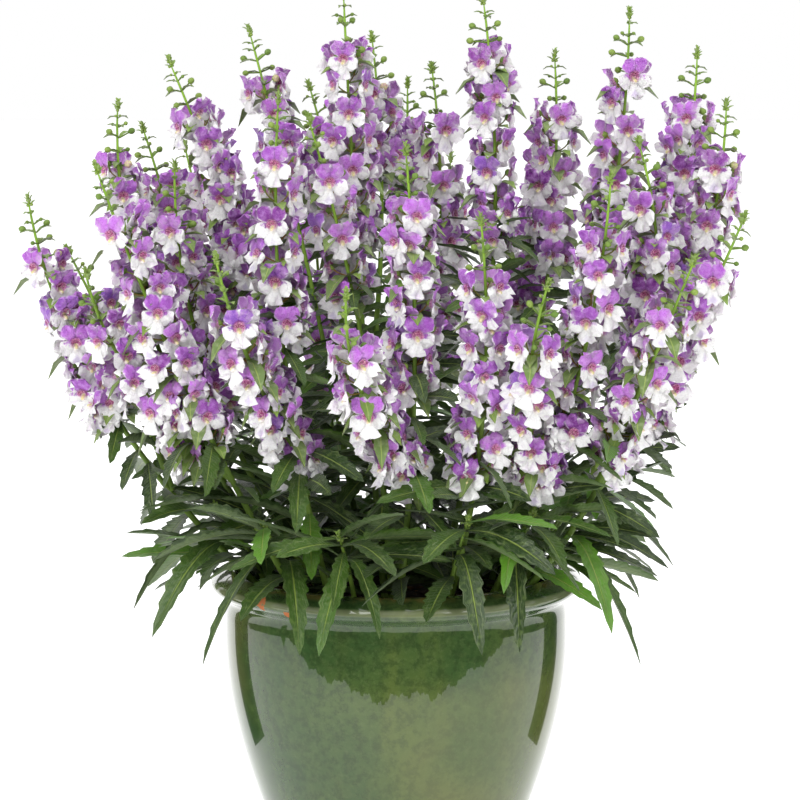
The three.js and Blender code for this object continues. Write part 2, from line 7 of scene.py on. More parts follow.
import bpy
import numpy as np
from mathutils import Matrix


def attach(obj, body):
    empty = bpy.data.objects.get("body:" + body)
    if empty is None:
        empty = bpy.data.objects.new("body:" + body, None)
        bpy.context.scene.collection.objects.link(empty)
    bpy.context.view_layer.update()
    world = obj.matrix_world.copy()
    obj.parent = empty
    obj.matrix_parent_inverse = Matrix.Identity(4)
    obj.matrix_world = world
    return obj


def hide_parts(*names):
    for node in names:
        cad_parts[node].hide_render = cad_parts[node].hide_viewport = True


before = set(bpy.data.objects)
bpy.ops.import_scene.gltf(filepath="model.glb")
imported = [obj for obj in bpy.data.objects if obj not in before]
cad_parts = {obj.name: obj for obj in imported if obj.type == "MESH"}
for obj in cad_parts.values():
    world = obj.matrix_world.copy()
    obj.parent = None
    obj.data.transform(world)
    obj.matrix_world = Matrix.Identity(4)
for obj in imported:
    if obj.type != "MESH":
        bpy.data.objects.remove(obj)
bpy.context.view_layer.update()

MM = 0.001

# The pot and the mix, as in the solids.
POT_HEIGHT = 220
FOOT_RADIUS = 70
BODY_RADIUS = 115.7
BODY_WIDEST_Z = 178
BODY_FULLNESS = 1.15
NECK_RADIUS = 114.5
NECK_Z = 201
LIP_RADIUS = 125
LIP_Z = 211
LIP_TOP_RADIUS = 110
WALL = 8
FLOOR = 12
DRAIN_HOLES = 3
DRAIN_RADIUS = 7
DRAIN_OUT = 36
SOIL_TOP = 196
SOIL_GAP = 1.2
SOIL_RADIUS = 104
SOIL_CROWN = 2
ROOT_DEPTH = 14

# The plant, as in the solids.
STEM_STEPS = 5
STEM_BASE_RADIUS = 3.0
STEM_TIP_RADIUS = 1.4
SIDE_STEM_SHARE = 0.9
MIDDLE = 0.6
FORK = 0.36
TUFT_LENGTH = 11
TUFT_WIDEST = 0.6
BUD_NODES = [24]
FIRST_BLOOM = 52
BLOOM_PITCH = 18.5
FIRST_LEAF = 6
LEAF_PITCH = 72
SHOOT_LEAF_PITCH = 12
LEAF_WINDING = 2.4
LOWEST_LEAF = 20
BLOOM_RADIUS = 12.6
BLOOM_NOD = 0.22
CALYX_RADIUS = 1.9
PEDICEL = 15
SMALLEST_BLOOM = 0.93
BLOOM_GROWTH = 0.14
PEDICEL_RISE = 0.5
BUD_RADIUS = 2.2
BUD_PEDICEL = 9
BUD_ROOM = 0.6
LEAF_LENGTH = 86
SMALL_LEAF_LENGTH = 42
LEAF_BREADTH = 0.16
LEAF_FOLD = 0.3
LEAF_ARCH = 0.2
LIP_ARCH = 0.48
HEART = np.array([0.0, 60.0])

# The flowering stems: where each stands in the mix, and its tips as x, y, z, then x and y of the stem at MIDDLE
# of its rise, and the length in flower. The first tip ends the main stem, and the next one a side stem.
STEMS = [
    ([-66, -4], [[-242, -20, 470, -204, -18, 88], [-222, 20, 434, -190, 14, 30]]),
    ([-52, 24], [[-187, 30, 531, -170, 28, 88], [-175, 72, 515, -150, 62, 60]]),
    ([-52, -32], [[-190, -90, 494, -142, -84, 132], [-200, -62, 425, -180, -62, 75]]),
    ([-34, -8], [[-146, -10, 492, -130, -12, 100]]),
    ([-44, 46], [[-154, 44, 560, -98, 46, 90], [-150, 128, 500, -128, 104, 88]]),
    ([-18, 26], [[-102, 88, 581, -62, 66, 60], [-62, 122, 543, -42, 96, 30]]),
    ([-36, -52], [[-75, -62, 537, -74, -72, 88], [-112, -132, 440, -98, -116, 104]]),
    ([-2, -30], [[-57, -46, 524, -24, -44, 60]]),
    ([-6, -2], [[-35, 18, 605, -26, 12, 104], [-17, 80, 577, -10, 60, 30]]),
    ([-2, -66], [[6, -92, 506, 12, -96, 88], [-30, -168, 420, -26, -146, 90]]),
    ([22, 4], [[58, 30, 602, 66, 24, 104]]),
    ([28, -44], [[53, -112, 463, 56, -108, 104]]),
    ([10, 46], [[8, 132, 545, 8, 106, 60], [24, 62, 556, 30, 60, 60]]),
    ([46, 22], [[108, 62, 564, 104, 58, 75], [118, 150, 520, 100, 120, 88]]),
    ([52, -24], [[134, -118, 489, 117, -100, 104], [94, -152, 425, 84, -128, 90]]),
    ([62, -2], [[158, 50, 593, 142, 42, 104]]),
    ([60, -44], [[155, -62, 509, 164, -68, 104], [186, -128, 438, 164, -112, 90]]),
    ([72, 22], [[200, 10, 566, 178, 12, 104], [192, 108, 500, 166, 88, 88]]),
    ([66, -16], [[215, -32, 533, 190, -32, 118], [222, -84, 462, 194, -74, 88]]),
    ([20, 74], [[40, 200, 490, 32, 160, 104]]),
    ([-32, 72], [[-62, 188, 470, -52, 150, 104], [-200, 84, 450, -150, 84, 75]]),
]
# The leafy shoots round the edge of the mix: bearing in degrees and height of the tip.
SHOOTS = [
    [226, 264],
    [253, 262],
    [292, 272],
    [316, 270],
    [338, 262],
    [193, 266],
    [3, 270],
    [39, 266],
    [95, 264],
    [141, 262],
]
SHOOT_REACHES = [80, 100, 124]  # of the root, the middle and the tip, from the pot's axis
# Leaves over the lip: the stem or shoot, the height where the leaf leaves it, and the leaf's tip.
LIP_LEAVES = [
    [21, 240, -124, -100, 174],
    [21, 234, -60, -147, 190],
    [22, 242, -10, -142, 200],
    [22, 231, -48, -148, 190],
    [23, 244, 54, -144, 190],
    [24, 244, 78, -136, 190],
    [24, 256, 68, -128, 226],
    [16, 248, 138, -108, 196],
    [16, 240, 158, -88, 172],
    [26, 248, -172, -56, 202],
    [26, 238, -158, -80, 188],
    [27, 250, 184, -30, 226],
    [17, 242, 168, 40, 190],
    [28, 238, 132, 118, 184],
    [29, 242, 24, 168, 192],
    [29, 232, -40, 160, 184],
    [30, 238, -140, 100, 184],
]
UP = np.array([0.0, 0.0, 1.0])


def chance(a, b, c):
    """A number from 0 to 1 that depends only on three whole numbers, by multiplying and folding their bits. The
    third number keeps the draws for one use apart from those for another."""
    h = ((a + 1) * 0x9E3779B1 ^ (b + 1) * 0x85EBCA6B ^ (c + 1) * 0xC2B2AE35) & 0xFFFFFFFF
    h = ((h ^ h >> 15) * 0x2C1B3C6D) & 0xFFFFFFFF
    h = ((h ^ h >> 12) * 0x297A2D39) & 0xFFFFFFFF
    return (h ^ h >> 15) / 4294967296


def unit(v):
    """The vectors v at length 1."""
    return v / np.maximum(np.linalg.norm(v, axis=-1, keepdims=True), 1e-9)


def bezier(start, control, end, steps):
    """Points of the parabola from start to end that the control point draws towards itself."""
    t = np.linspace(0, 1, steps + 1)[:, None]
    return (1 - t) ** 2 * start + 2 * t * (1 - t) * control + t**2 * end


class Stem:
    """A stem's course: a parabola through its point at MIDDLE of the rise, cut into straight lengths."""

    def __init__(self, plant, thick, start, tip):
        x, y, z, middle_x, middle_y, self.bloom = tip
        self.plant, self.thick, self.start, self.end = plant, thick, start, np.array([x, y, z], float)
        middle = np.array([middle_x, middle_y, start[2] + MIDDLE * (z - start[2])])
        self.control = (middle - (1 - MIDDLE) ** 2 * start - MIDDLE**2 * self.end) / (2 * MIDDLE * (1 - MIDDLE))
        self.points = bezier(start, self.control, self.end, STEM_STEPS)
        self.far = np.concatenate([[0], np.cumsum(np.linalg.norm(np.diff(self.points, axis=0), axis=1))])
        self.length = self.far[-1]

    def place(self, distance):
        """The point and the direction at a distance from the lower end."""
        i = min(int(np.searchsorted(self.far[1:], distance)) + 1, STEM_STEPS)
        along = unit(self.points[i] - self.points[i - 1])
        return self.points[i - 1] + along * (distance - self.far[i - 1]), along

    def distance_at(self, height):
        """The distance along the stem to where it passes a height."""
        i = 1
        while i < STEM_STEPS and self.points[i][2] < height:
            i += 1
        share = (height - self.points[i - 1][2]) / (self.points[i][2] - self.points[i - 1][2])
        return self.far[i - 1] + share * (self.far[i] - self.far[i - 1])

    def radius(self, distance):
        return self.thick * (STEM_BASE_RADIUS + (STEM_TIP_RADIUS - STEM_BASE_RADIUS) * distance / self.length)


def grow_stems():
    """Every stem: the main and side stems of each flowering stem, then the shoots."""
    plants = list(STEMS)
    for bearing, height in SHOOTS:
        out = [math.cos(math.radians(bearing)), math.sin(math.radians(bearing))]
        root, middle, tip = ([u * r for u in out] for r in SHOOT_REACHES)
        plants.append((root, [[*tip, height, *middle, 0]]))
    stems = []
    for plant, (root, tips) in enumerate(plants):
        main = Stem(plant, 1, np.array([*root, SOIL_TOP - ROOT_DEPTH], float), tips[0])
        stems.append(main)
        for tip in tips[1:]:
            stems.append(Stem(plant, SIDE_STEM_SHARE, main.place(FORK * main.length)[0], tip))
    return stems


class Room:
    """The balls that stand for all that has been placed, so that nothing crosses. A ball near the root of a
    piece may meet its own plant."""

    MOST = 160000

    def __init__(self):
        self.at = np.zeros((self.MOST, 3))
        self.size = np.zeros(self.MOST)
        self.plant = np.zeros(self.MOST, int)
        self.count = 0

    def is_free(self, balls, plant):
        at, size, near = balls
        centre = at.mean(0)
        reach = (np.linalg.norm(at - centre, axis=1) + size).max()
        close = np.linalg.norm(self.at[: self.count] - centre, axis=1) < reach + self.size[: self.count]
        close = np.flatnonzero(close)
        apart = ((at[:, None] - self.at[close]) ** 2).sum(2)
        meets = apart <= (size[:, None] + self.size[close]) ** 2
        return not (meets & ~(near[:, None] & (self.plant[close] == plant))).any()

    def take(self, balls, plant):
        at, size, _ = balls
        span = slice(self.count, self.count + len(at))
        self.at[span], self.size[span], self.plant[span] = at, size, plant
        self.count += len(at)


POT_ROOM = 1.5
INSIDE_RADIUS = 100


def is_off_pot(balls):
    """Whether the balls are above the lip, outside it, or inside it and above the mix."""
    at, size, _ = balls
    out = np.hypot(at[:, 0], at[:, 1])
    above = at[:, 2] - size > POT_HEIGHT + POT_ROOM
    outside = out - size > LIP_RADIUS + POT_ROOM
    inside = (out + size < INSIDE_RADIUS) & (at[:, 2] - size > SOIL_TOP + 2 * SOIL_CROWN)
    return bool((above | outside | inside).all())


def ball(at, size):
    return np.array([at]), np.array([float(size)]), np.array([False])


BALL_STEP = 5
STEM_ROOM = 0.9
TUFT_ROOM = 3.4


def take_stems(room, stems):
    for stem in stems:
        for d in np.arange(0, stem.length, BALL_STEP):
            room.take(ball(stem.place(d)[0], stem.radius(d) + STEM_ROOM), stem.plant)
        room.take(ball(stem.place(stem.length - TUFT_WIDEST * TUFT_LENGTH)[0], TUFT_ROOM), stem.plant)


def reach_from(along, turn, rise=PEDICEL_RISE):
    """The direction square to a stem that points out at a turn, bent up along the stem."""
    out = np.array([math.cos(turn), math.sin(turn), 0])
    out = unit(out - along * (out @ along))
    return unit(out + rise * along)


def outwards(point):
    return math.atan2(point[1] - HEART[1], point[0] - HEART[0])


BRACT_TURN = 1.6
BRACT_RISE = 0.25


class Bud:
    """A bud at a turn about its stem, on its pedicel. A bract grows beside it, up to half BRACT_TURN away."""

    def __init__(self, stem, distance, turn, pedicel, radius, draw, rise=PEDICEL_RISE):
        self.plant, self.radius, self.draw = stem.plant, radius, draw
        self.point, self.along = stem.place(distance)
        self.reach = reach_from(self.along, turn, rise)
        self.bract_reach = reach_from(self.along, turn + BRACT_TURN * (0.5 - draw), BRACT_RISE)
        self.middle = self.point + self.reach * pedicel


# Pairs of buds that the solids leave out: how far below the tip, the pedicel, the radius and the pedicel's rise.
FINE_BUDS = [
    [11.5, 2.6, 0.9, 0.5],
    [17, 5.2, 1.3, 0.4],
    [33, 9.0, 2.0, 0.2],
    [42, 10.0, 2.5, 0.1],
    [51, 11.0, 3.1, -0.1],
]
BUD_WANDER = 0.9
BUD_SLIP = 3
FINE_BUD_ROOM = 0.2


def grow_buds(room, stems):
    buds = []
    for number, stem in enumerate(stems):
        if not stem.bloom:
            continue
        for k, below in enumerate(BUD_NODES):
            distance = stem.length - below
            for side in (0, 1):
                turn = outwards(stem.place(distance)[0]) + math.pi * (0.5 * k + side)
                turn += chance(number, k, side + 40)
                bud = Bud(stem, distance, turn, BUD_PEDICEL, BUD_RADIUS, chance(number, k, side + 50))
                balls = ball(bud.middle, BUD_RADIUS + BUD_ROOM)
                if room.is_free(balls, stem.plant):
                    room.take(balls, stem.plant)
                    buds.append(bud)
    return buds


def grow_fine_buds(room, stems):
    """The finer pairs of buds, each pair turned square to the one above it."""
    buds = []
    for number, stem in enumerate(stems):
        for k, (below, pedicel, radius, rise) in enumerate(FINE_BUDS if stem.bloom else []):
            distance = stem.length - below + BUD_SLIP * (chance(number, k, 59) - 0.5)
            for side in (0, 1):
                turn = outwards(stem.place(distance)[0]) + math.pi * (0.5 * k + side + 0.25)
                turn += BUD_WANDER * (chance(number, k, side + 60) - 0.5)
                draw = chance(number, k, side + 62)
                stalk, size = pedicel * (0.8 + 0.4 * draw), radius * (0.75 + 0.4 * draw)
                bud = Bud(stem, distance, turn, stalk, size, draw, rise)
                balls = ball(bud.middle, radius + FINE_BUD_ROOM)
                if below < BUD_NODES[0] or room.is_free(balls, stem.plant):
                    room.take(balls, stem.plant)
                    buds.append(bud)
    return buds


# The balls of a bloom, in shares of its half width: across, up and the radius.
BLOOM_BALLS = np.array(
    [
        [0, 0, 0.45],
        [0.34, 0.5, 0.42],
        [-0.34, 0.5, 0.42],
        [0.62, -0.22, 0.42],
        [-0.62, -0.22, 0.42],
        [0, -0.82, 0.48],
    ]
)
PEDICEL_BALLS = [0.35, 0.65]
FINE_STALK = 0.7


class Bloom:
    """A bloom at a turn about its stem. It looks out and a little down, and its middle ends the pedicel."""

    def __init__(self, stem, distance, turn, size, draw, nod=BLOOM_NOD, yaw=0.0, roll=0.0, stalk=1.0):
        self.plant, self.size, self.draw, self.turn = stem.plant, size, draw, turn
        self.point, self.along = stem.place(distance)
        self.reach = reach_from(self.along, turn)
        self.forward = unit(np.array([math.cos(turn + yaw), math.sin(turn + yaw), -nod]))
        right = unit(np.cross(UP, self.forward))
        up = np.cross(self.forward, right)
        self.right = math.cos(roll) * right + math.sin(roll) * up
        self.up = math.cos(roll) * up - math.sin(roll) * right
        self.middle = self.point + self.reach * PEDICEL * size * stalk

    def on(self, u, v, w):
        """Points of the bloom from shares of its half width: across, up and forward."""
        shares = np.stack(np.broadcast_arrays(u, v, w), -1) * BLOOM_RADIUS * self.size
        return self.middle + shares @ np.array([self.right, self.up, self.forward])

    def balls(self, share=1.0):
        faces = self.on(BLOOM_BALLS[:, 0], BLOOM_BALLS[:, 1], 0)
        stalk = [self.point + s * (self.middle - self.point) for s in PEDICEL_BALLS]
        stalk_size = CALYX_RADIUS if share == 1 else FINE_STALK
        size = [*(share * BLOOM_BALLS[:, 2] * BLOOM_RADIUS * self.size), stalk_size, stalk_size]
        near = [False] * len(BLOOM_BALLS) + [True] * len(PEDICEL_BALLS)
        return np.concatenate([faces, stalk]), np.array(size), np.array(near)


TURNS = [0, 0.3, -0.3, 0.6, -0.6, 0.9, -0.9, 1.2, -1.2]
CLOSE_PAIR = 0.55
WIDE_PAIR = 1.3
BLOOM_WANDER = 0.5


def add_bloom(room, blooms, stem, distance, turn, size, draw, share=1.0, *pose):
    """Turns a bloom about its stem until it is clear of everything, and leaves it out if it never is."""
    for more in TURNS:
        bloom = Bloom(stem, distance, turn + more, size, draw, *pose)
        balls = bloom.balls(share)
        if room.is_free(balls, stem.plant) and is_off_pot(balls):
            room.take(balls, stem.plant)
            blooms.append(bloom)
            return


def grow_blooms(room, stems):
    """The pairs of blooms of the solids, open away from the heart of the plant."""
    blooms = []
    for number, stem in enumerate(stems):
        k = 0
        while k * BLOOM_PITCH < stem.bloom:
            distance = stem.length - FIRST_BLOOM - k * BLOOM_PITCH
            open_turn = outwards(stem.place(distance)[0])
            for side in (1, -1):
                spread = side * (WIDE_PAIR if k % 2 else CLOSE_PAIR)
                turn = open_turn + spread + BLOOM_WANDER * (chance(number, k, side + 5) - 0.5)
                size = SMALLEST_BLOOM + BLOOM_GROWTH * chance(number, k, side + 9)
                add_bloom(room, blooms, stem, distance, turn, size, chance(number, k, side + 12))
            k += 1
    return blooms


# The florets that the solids leave out: they stand closer, and reach further down the stem.
FINE_PITCH = 6.5
FINE_SHARE = 0.36
FINE_NOD, FINE_YAW, FINE_ROLL = 0.9, 1.1, 0.8
FINE_TURNS = [0, 0.7, -0.7, 1.4, -1.4, 2.3, -2.3, 3.1]
LOWER_BLOOMS = 30
FINE_STALKS = [0.8, 0.5]  # a floret's stalk, in shares of a solid's: the shortest, and how much longer it may be
LOOSE_TOP = [0.4, 60]  # the share of florets that the top keeps, and how far down they thicken


def grow_fine_blooms(room, stems):
    """More florets between the pairs and behind them, where their faces stay clear of each other."""
    blooms = []
    for turn_number, fine_turn in enumerate(FINE_TURNS):
        for number, stem in enumerate(stems):
            count = int((stem.bloom + LOWER_BLOOMS) / FINE_PITCH) if stem.bloom else 0
            for k in range(count):
                distance = stem.length - FIRST_BLOOM - (k - 0.5) * FINE_PITCH
                draw = chance(number, k, turn_number + 70)
                full = LOOSE_TOP[0] + (1 - LOOSE_TOP[0]) * k * FINE_PITCH / LOOSE_TOP[1]
                if chance(number, k, turn_number + 170) > full:
                    continue
                turn = outwards(stem.place(distance)[0]) + fine_turn + 2 * BLOOM_WANDER * (draw - 0.5)
                size = SMALLEST_BLOOM - 0.05 + BLOOM_GROWTH * chance(number, k, turn_number + 80)
                swings = [chance(number, k, turn_number + n) - 0.5 for n in (140, 150, 160)]
                stalk = FINE_STALKS[0] + FINE_STALKS[1] * chance(number, k, turn_number + 180)
                pose = [BLOOM_NOD + FINE_NOD * swings[0], FINE_YAW * swings[1], FINE_ROLL * swings[2], stalk]
                add_bloom(room, blooms, stem, distance, turn, size, draw, FINE_SHARE, *pose)
    return blooms


LEAF_STEPS = 16
ARCH_TOP = 0.42
LEAF_FORM = [1.2, 0.65]
NEAR_LEAF = 3
LEAF_ROOM = 1.4
ACROSS_LEAF = [-0.6, 0, 0.6]


def leaf_half(share, length):
    """Half a blade's width: narrow at the stem, broadest past the middle, pointed at the tip."""
    form = np.maximum(np.sin(np.pi * share ** LEAF_FORM[0]), 0)
    return LEAF_BREADTH * 0.5 * length * form ** LEAF_FORM[1]


class Leaf:
    """A leaf that arches from its stem to its tip, highest before its middle."""

    def __init__(self, stem, distance, tip, arch, draw):
        self.plant, self.draw = stem.plant, draw
        self.point = stem.place(distance)[0]
        self.length = np.linalg.norm(tip - self.point)
        self.top = self.point + ARCH_TOP * (tip - self.point) + UP * arch * self.length
        self.tip = tip
        self.points = bezier(self.point, self.top, tip, LEAF_STEPS)

    def balls(self, room=LEAF_ROOM, share=1.0):
        steps = np.arange(1, LEAF_STEPS + 1)
        last = np.minimum(steps, LEAF_STEPS - 1)
        along = unit(self.points[last + 1] - self.points[last])
        across = unit(np.cross(along, UP))
        half = leaf_half(steps / LEAF_STEPS, self.length)
        at = [self.points[steps] + side * half[:, None] * across for side in ACROSS_LEAF]
        size = np.tile(share * 0.5 * half + room, len(ACROSS_LEAF))
        return np.concatenate(at), size, np.tile(steps <= NEAR_LEAF, len(ACROSS_LEAF))


def add_leaf(room, leaves, leaf, *thin):
    balls = leaf.balls(*thin)
    fits = room.is_free(balls, leaf.plant) and is_off_pot(balls)
    if fits:
        room.take(balls, leaf.plant)
        leaves.append(leaf)
    return fits


SPREAD = 180
SPREAD_GROWTH = 0.15
LEAF_TURNS = [0, 0.3, -0.3, 0.6, -0.6, 0.9, -0.9]
LONG_LEAF_REACH = 170
LEAF_WANDER = 0.8
LEAF_RISE = 0.1
LEAF_DROOP = 0.5
FIRST_SHOOT_LEAF = 12


def leaf_reach(turn, rise):
    return unit(np.array([math.cos(turn), math.sin(turn), rise]))


def is_in_spread(tip):
    """Whether a leaf's tip is within a distance of the pot's axis that grows with height."""
    return math.hypot(tip[0], tip[1]) < SPREAD + SPREAD_GROWTH * (tip[2] - SOIL_TOP)


def leaf_size(height):
    """A leaf is longer the nearer its stem's foot it grows."""
    low = 1 - min(1, max(0, (height - POT_HEIGHT) / LONG_LEAF_REACH))
    return SMALL_LEAF_LENGTH + (LEAF_LENGTH - SMALL_LEAF_LENGTH) * low


def grow_leaves(room, stems):
    """The leaves of the solids: those over the lip, then those that wind down each stem."""
    leaves = []
    for n, (plant, height, x, y, z) in enumerate(LIP_LEAVES):
        stem = next(s for s in stems if s.plant == plant)
        tip = np.array([x, y, z], float)
        add_leaf(room, leaves, Leaf(stem, stem.distance_at(height), tip, LIP_ARCH, chance(n, 0, 90)))
    for number, stem in enumerate(stems):
        first = stem.length - (FIRST_BLOOM + stem.bloom + FIRST_LEAF if stem.bloom else FIRST_SHOOT_LEAF)
        pitch = LEAF_PITCH if stem.bloom else SHOOT_LEAF_PITCH
        k = 0
        while first - k * pitch > LOWEST_LEAF:
            distance = first - k * pitch
            point = stem.place(distance)[0]
            turn = outwards(point) + LEAF_WINDING * k + LEAF_WANDER * (chance(number, k, 20) - 0.5)
            rise = LEAF_RISE - LEAF_DROOP * chance(number, k, 30)
            for more in LEAF_TURNS:
                tip = point + leaf_reach(turn + more, rise) * leaf_size(point[2])
                leaf = Leaf(stem, distance, tip, LEAF_ARCH, chance(number, k, 91))
                if is_in_spread(tip) and add_leaf(room, leaves, leaf):
                    break
            k += 1
    return leaves


# The leaves that the solids leave out: pairs down each stem, with less room round each.
FINE_LEAF_PITCH = 11
FINE_LEAF_TURNS = [0, 0.35, -0.35, 0.7, -0.7, 1.1, -1.1]
FINE_LEAF_ROOM = 0.2
FINE_LEAF_SHARE = 0.55
FINE_LEAF_ARCH = 0.1
FINE_LEAF_LENGTHS = [0.7, 0.35]  # in shares of a solid's leaf: the shortest, and how much longer it may be
FINE_LEAF_RISES = [0.45, 1.2]  # the most that a leaf rises, and how far that may be cut
FIRST_FINE_SHOOT_LEAF = 4
SHOOT_PITCH = 0.6
LOWEST_TIP = 186


def grow_fine_leaves(room, stems):
    """More leaves, in pairs down each stem, each pair turned square to the one above it."""
    leaves = []
    for number, stem in enumerate(stems):
        first = stem.length - (FIRST_BLOOM + stem.bloom if stem.bloom else FIRST_FINE_SHOOT_LEAF)
        pitch = FINE_LEAF_PITCH if stem.bloom else SHOOT_PITCH * FINE_LEAF_PITCH
        for k in range(int(max(0, first - LOWEST_LEAF) / pitch) + 1):
            distance = first - k * pitch
            point = stem.place(distance)[0]
            for side in (0, 1):
                draw = chance(number, k, side + 100)
                turn = outwards(point) + math.pi * (side + 0.5 * k + 0.25) + LEAF_WANDER * (draw - 0.5)
                shortest, more_length = FINE_LEAF_LENGTHS
                long = leaf_size(point[2]) * (shortest + more_length * chance(number, k, side + 110))
                rise = FINE_LEAF_RISES[0] - FINE_LEAF_RISES[1] * chance(number, k, side + 120)
                for more in FINE_LEAF_TURNS:
                    tip = point + leaf_reach(turn + more, rise) * long
                    if not is_in_spread(tip) or tip[2] < LOWEST_TIP:
                        continue
                    leaf = Leaf(stem, distance, tip, FINE_LEAF_ARCH, draw)
                    if add_leaf(room, leaves, leaf, FINE_LEAF_ROOM, FINE_LEAF_SHARE):
                        break
    return leaves


class Skin:
    """Closed skins gathered into one mesh. Each is a grid of points: rings, the same way round, from one end to
    the other, with a face over both ends. Every point has a spot, which is its place on its own leaf, petal or
    stem, and a draw, which differs from one to the next."""

    def __init__(self):
        self.points, self.spots, self.draws = [], [], []
        self.corners, self.sizes, self.paints = [], [], []
        self.count = 0

    def add(self, rings, spot, draw, paint=0):
        rows, around = rings.shape[:2]
        index = self.count + np.arange(rows * around).reshape(rows, around)
        following = np.roll(index, -1, 1)
        quads = np.stack([index[:-1], following[:-1], following[1:], index[1:]], -1).reshape(-1, 4)
        self.corners += [quads.ravel(), index[0][::-1], index[-1]]
        self.sizes += [np.full(len(quads), 4), [around], [around]]
        self.paints.append(np.full(len(quads) + 2, paint))
        self.points.append(rings.reshape(-1, 3))
        self.spots.append(np.broadcast_to(spot, rings.shape).reshape(-1, 3))
        self.draws.append(np.full(rows * around, draw))
        self.count += rows * around

    def mesh(self, name, materials, sharp=60):
        """The mesh in metres, smooth but for the edges that turn by more than sharp degrees."""
        mesh = bpy.data.meshes.new(name)
        corners, sizes = np.concatenate(self.corners), np.concatenate(self.sizes)
        mesh.vertices.add(self.count)
        mesh.loops.add(len(corners))
        mesh.polygons.add(len(sizes))
        mesh.vertices.foreach_set("co", (np.concatenate(self.points) * MM).astype(np.float32).ravel())
        mesh.loops.foreach_set("vertex_index", corners.astype(np.int32))
        mesh.polygons.foreach_set("loop_start", (np.cumsum(sizes) - sizes).astype(np.int32))
        mesh.polygons.foreach_set("material_index", np.concatenate(self.paints).astype(np.int32))
        spot = mesh.attributes.new("spot", "FLOAT_VECTOR", "POINT")
        spot.data.foreach_set("vector", np.concatenate(self.spots).astype(np.float32).ravel())
        draw = mesh.attributes.new("draw", "FLOAT", "POINT")
        draw.data.foreach_set("value", np.concatenate(self.draws).astype(np.float32))
        for material in materials:
            mesh.materials.append(material)
        mesh.update(calc_edges=True)
        mesh.validate()
        mesh.shade_smooth()
        mesh.set_sharp_from_angle(angle=math.radians(sharp))
        return mesh

    def piece(self, name, materials, slot, *nodes, sharp=60):
        """The mesh as a piece that stands for CAD nodes."""
        made = bpy.data.objects.new(name, self.mesh(name, materials, sharp))
        bpy.context.scene.collection.objects.link(made)
        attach(made, "root")
        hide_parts(*nodes)
        return made


def tube(path, radii, sides, side=np.array([0.0, 1.0, 0.0])):
    """Rings of a round tube: about each point of the path, a circle square to the path's direction."""
    along = unit(np.gradient(path, axis=0))
    a = unit(np.cross(side, along))
    b = np.cross(along, a)
    turn = 2 * np.pi * np.arange(sides) / sides
    circle = np.cos(turn)[None, :, None] * a[:, None] + np.sin(turn)[None, :, None] * b[:, None]
    return path[:, None] + np.asarray(radii, float)[:, None, None] * circle


# The points of a ring round a petal's lobe and round a leaf: how far across, and on the front (1), the edge or
# the back (-1). A leaf's front has a narrow rib.
LOBE_ACROSS = np.array([1, 0.5, 0, -0.5, -1, 0])
LOBE_LAYER = np.array([0, 1, 1, 1, 0, -1])
LEAF_ACROSS = np.array([1, 0.05, -0.05, -1, 0])
LEAF_LAYER = np.array([0, 1, 1, 0, -1])


def leaf_rings(spine, side, face, half, lift, thick):
    """Rings of a leaf: each point is the spine's, moved across by its share of half the width, and along the
    face by the lift and half the thickness."""
    out = side[:, None] * (half[:, None] * LEAF_ACROSS)[..., None]
    raised = lift + 0.5 * thick[:, None] * LEAF_LAYER
    return spine[:, None] + out + face[:, None] * raised[..., None]


def leaf_spots(shares):
    """A leaf's spots: the share of its length, how far across, and its layer."""
    return np.stack(np.broadcast_arrays(shares[:, None], LEAF_ACROSS, LEAF_LAYER.astype(float)), -1)


STEM_ROWS = 22
STEM_SIDES = 7
FINE_TIP_RADIUS = 0.75
STEM_TAPER = 0.7
GREEN_REACH = 400  # how far above the mix the stems' green has changed
STEM_PAINT, LEAF_PAINT, BUD_PAINT, BRACT_PAINT = 0, 1, 2, 3


def stem_skin(skin, stem):
    """A round stem along its parabola, thinner towards its tip."""
    path = bezier(stem.start, stem.control, stem.end, STEM_ROWS)
    share = np.linspace(0, 1, STEM_ROWS + 1)
    radii = stem.thick * (STEM_BASE_RADIUS + (FINE_TIP_RADIUS - STEM_BASE_RADIUS) * share**STEM_TAPER)
    radii[-1] *= 0.4
    rings = tube(path, radii, STEM_SIDES)
    height = (rings[..., 2] - SOIL_TOP) / GREEN_REACH
    skin.add(rings, np.stack([height, 0 * height, 0 * height], -1), chance(stem.plant, 3, 3), STEM_PAINT)


LEAF_TOOTH = 10  # of its length for each tooth
TOOTH_SHARES = [0.2, 0.97]
TOOTH_POINT = 0.75
TOOTH_DEPTH = 0.13
LEAF_FOOT = [0, 0.06, 0.13]
FINE_BREADTH = 1.15
SHORT_BREADTH = 0.5
LEAF_ROLL = [0.8, 1.3]  # a blade's turn about its rib at the foot, and how much more at the tip
LEAF_WAVE = 0.1
LEAF_THICKNESS = [0.8, 0.35]  # at the foot, and how much is lost to the tip
LEAST_HALF = [1.0, 0.15]  # the least half width in the lower half and in the upper one


def leaf_rows(length):
    """The shares of a leaf's length at its rings, and how far out each ring's edge stands. The edge goes out
    slowly to each tooth's point, and back in a short step."""
    teeth = np.linspace(*TOOTH_SHARES, int(length / LEAF_TOOTH) + 1)
    points = teeth[:-1] + TOOTH_POINT * (teeth[1] - teeth[0])
    shares = np.concatenate([LEAF_FOOT, np.stack([teeth[:-1], points], 1).ravel(), [TOOTH_SHARES[1], 1]])
    edge = np.ones(len(shares))
    edge[len(LEAF_FOOT) : -1 : 2] -= TOOTH_DEPTH
    edge[len(LEAF_FOOT) + 1 : -1 : 2] += TOOTH_DEPTH
    return shares, edge


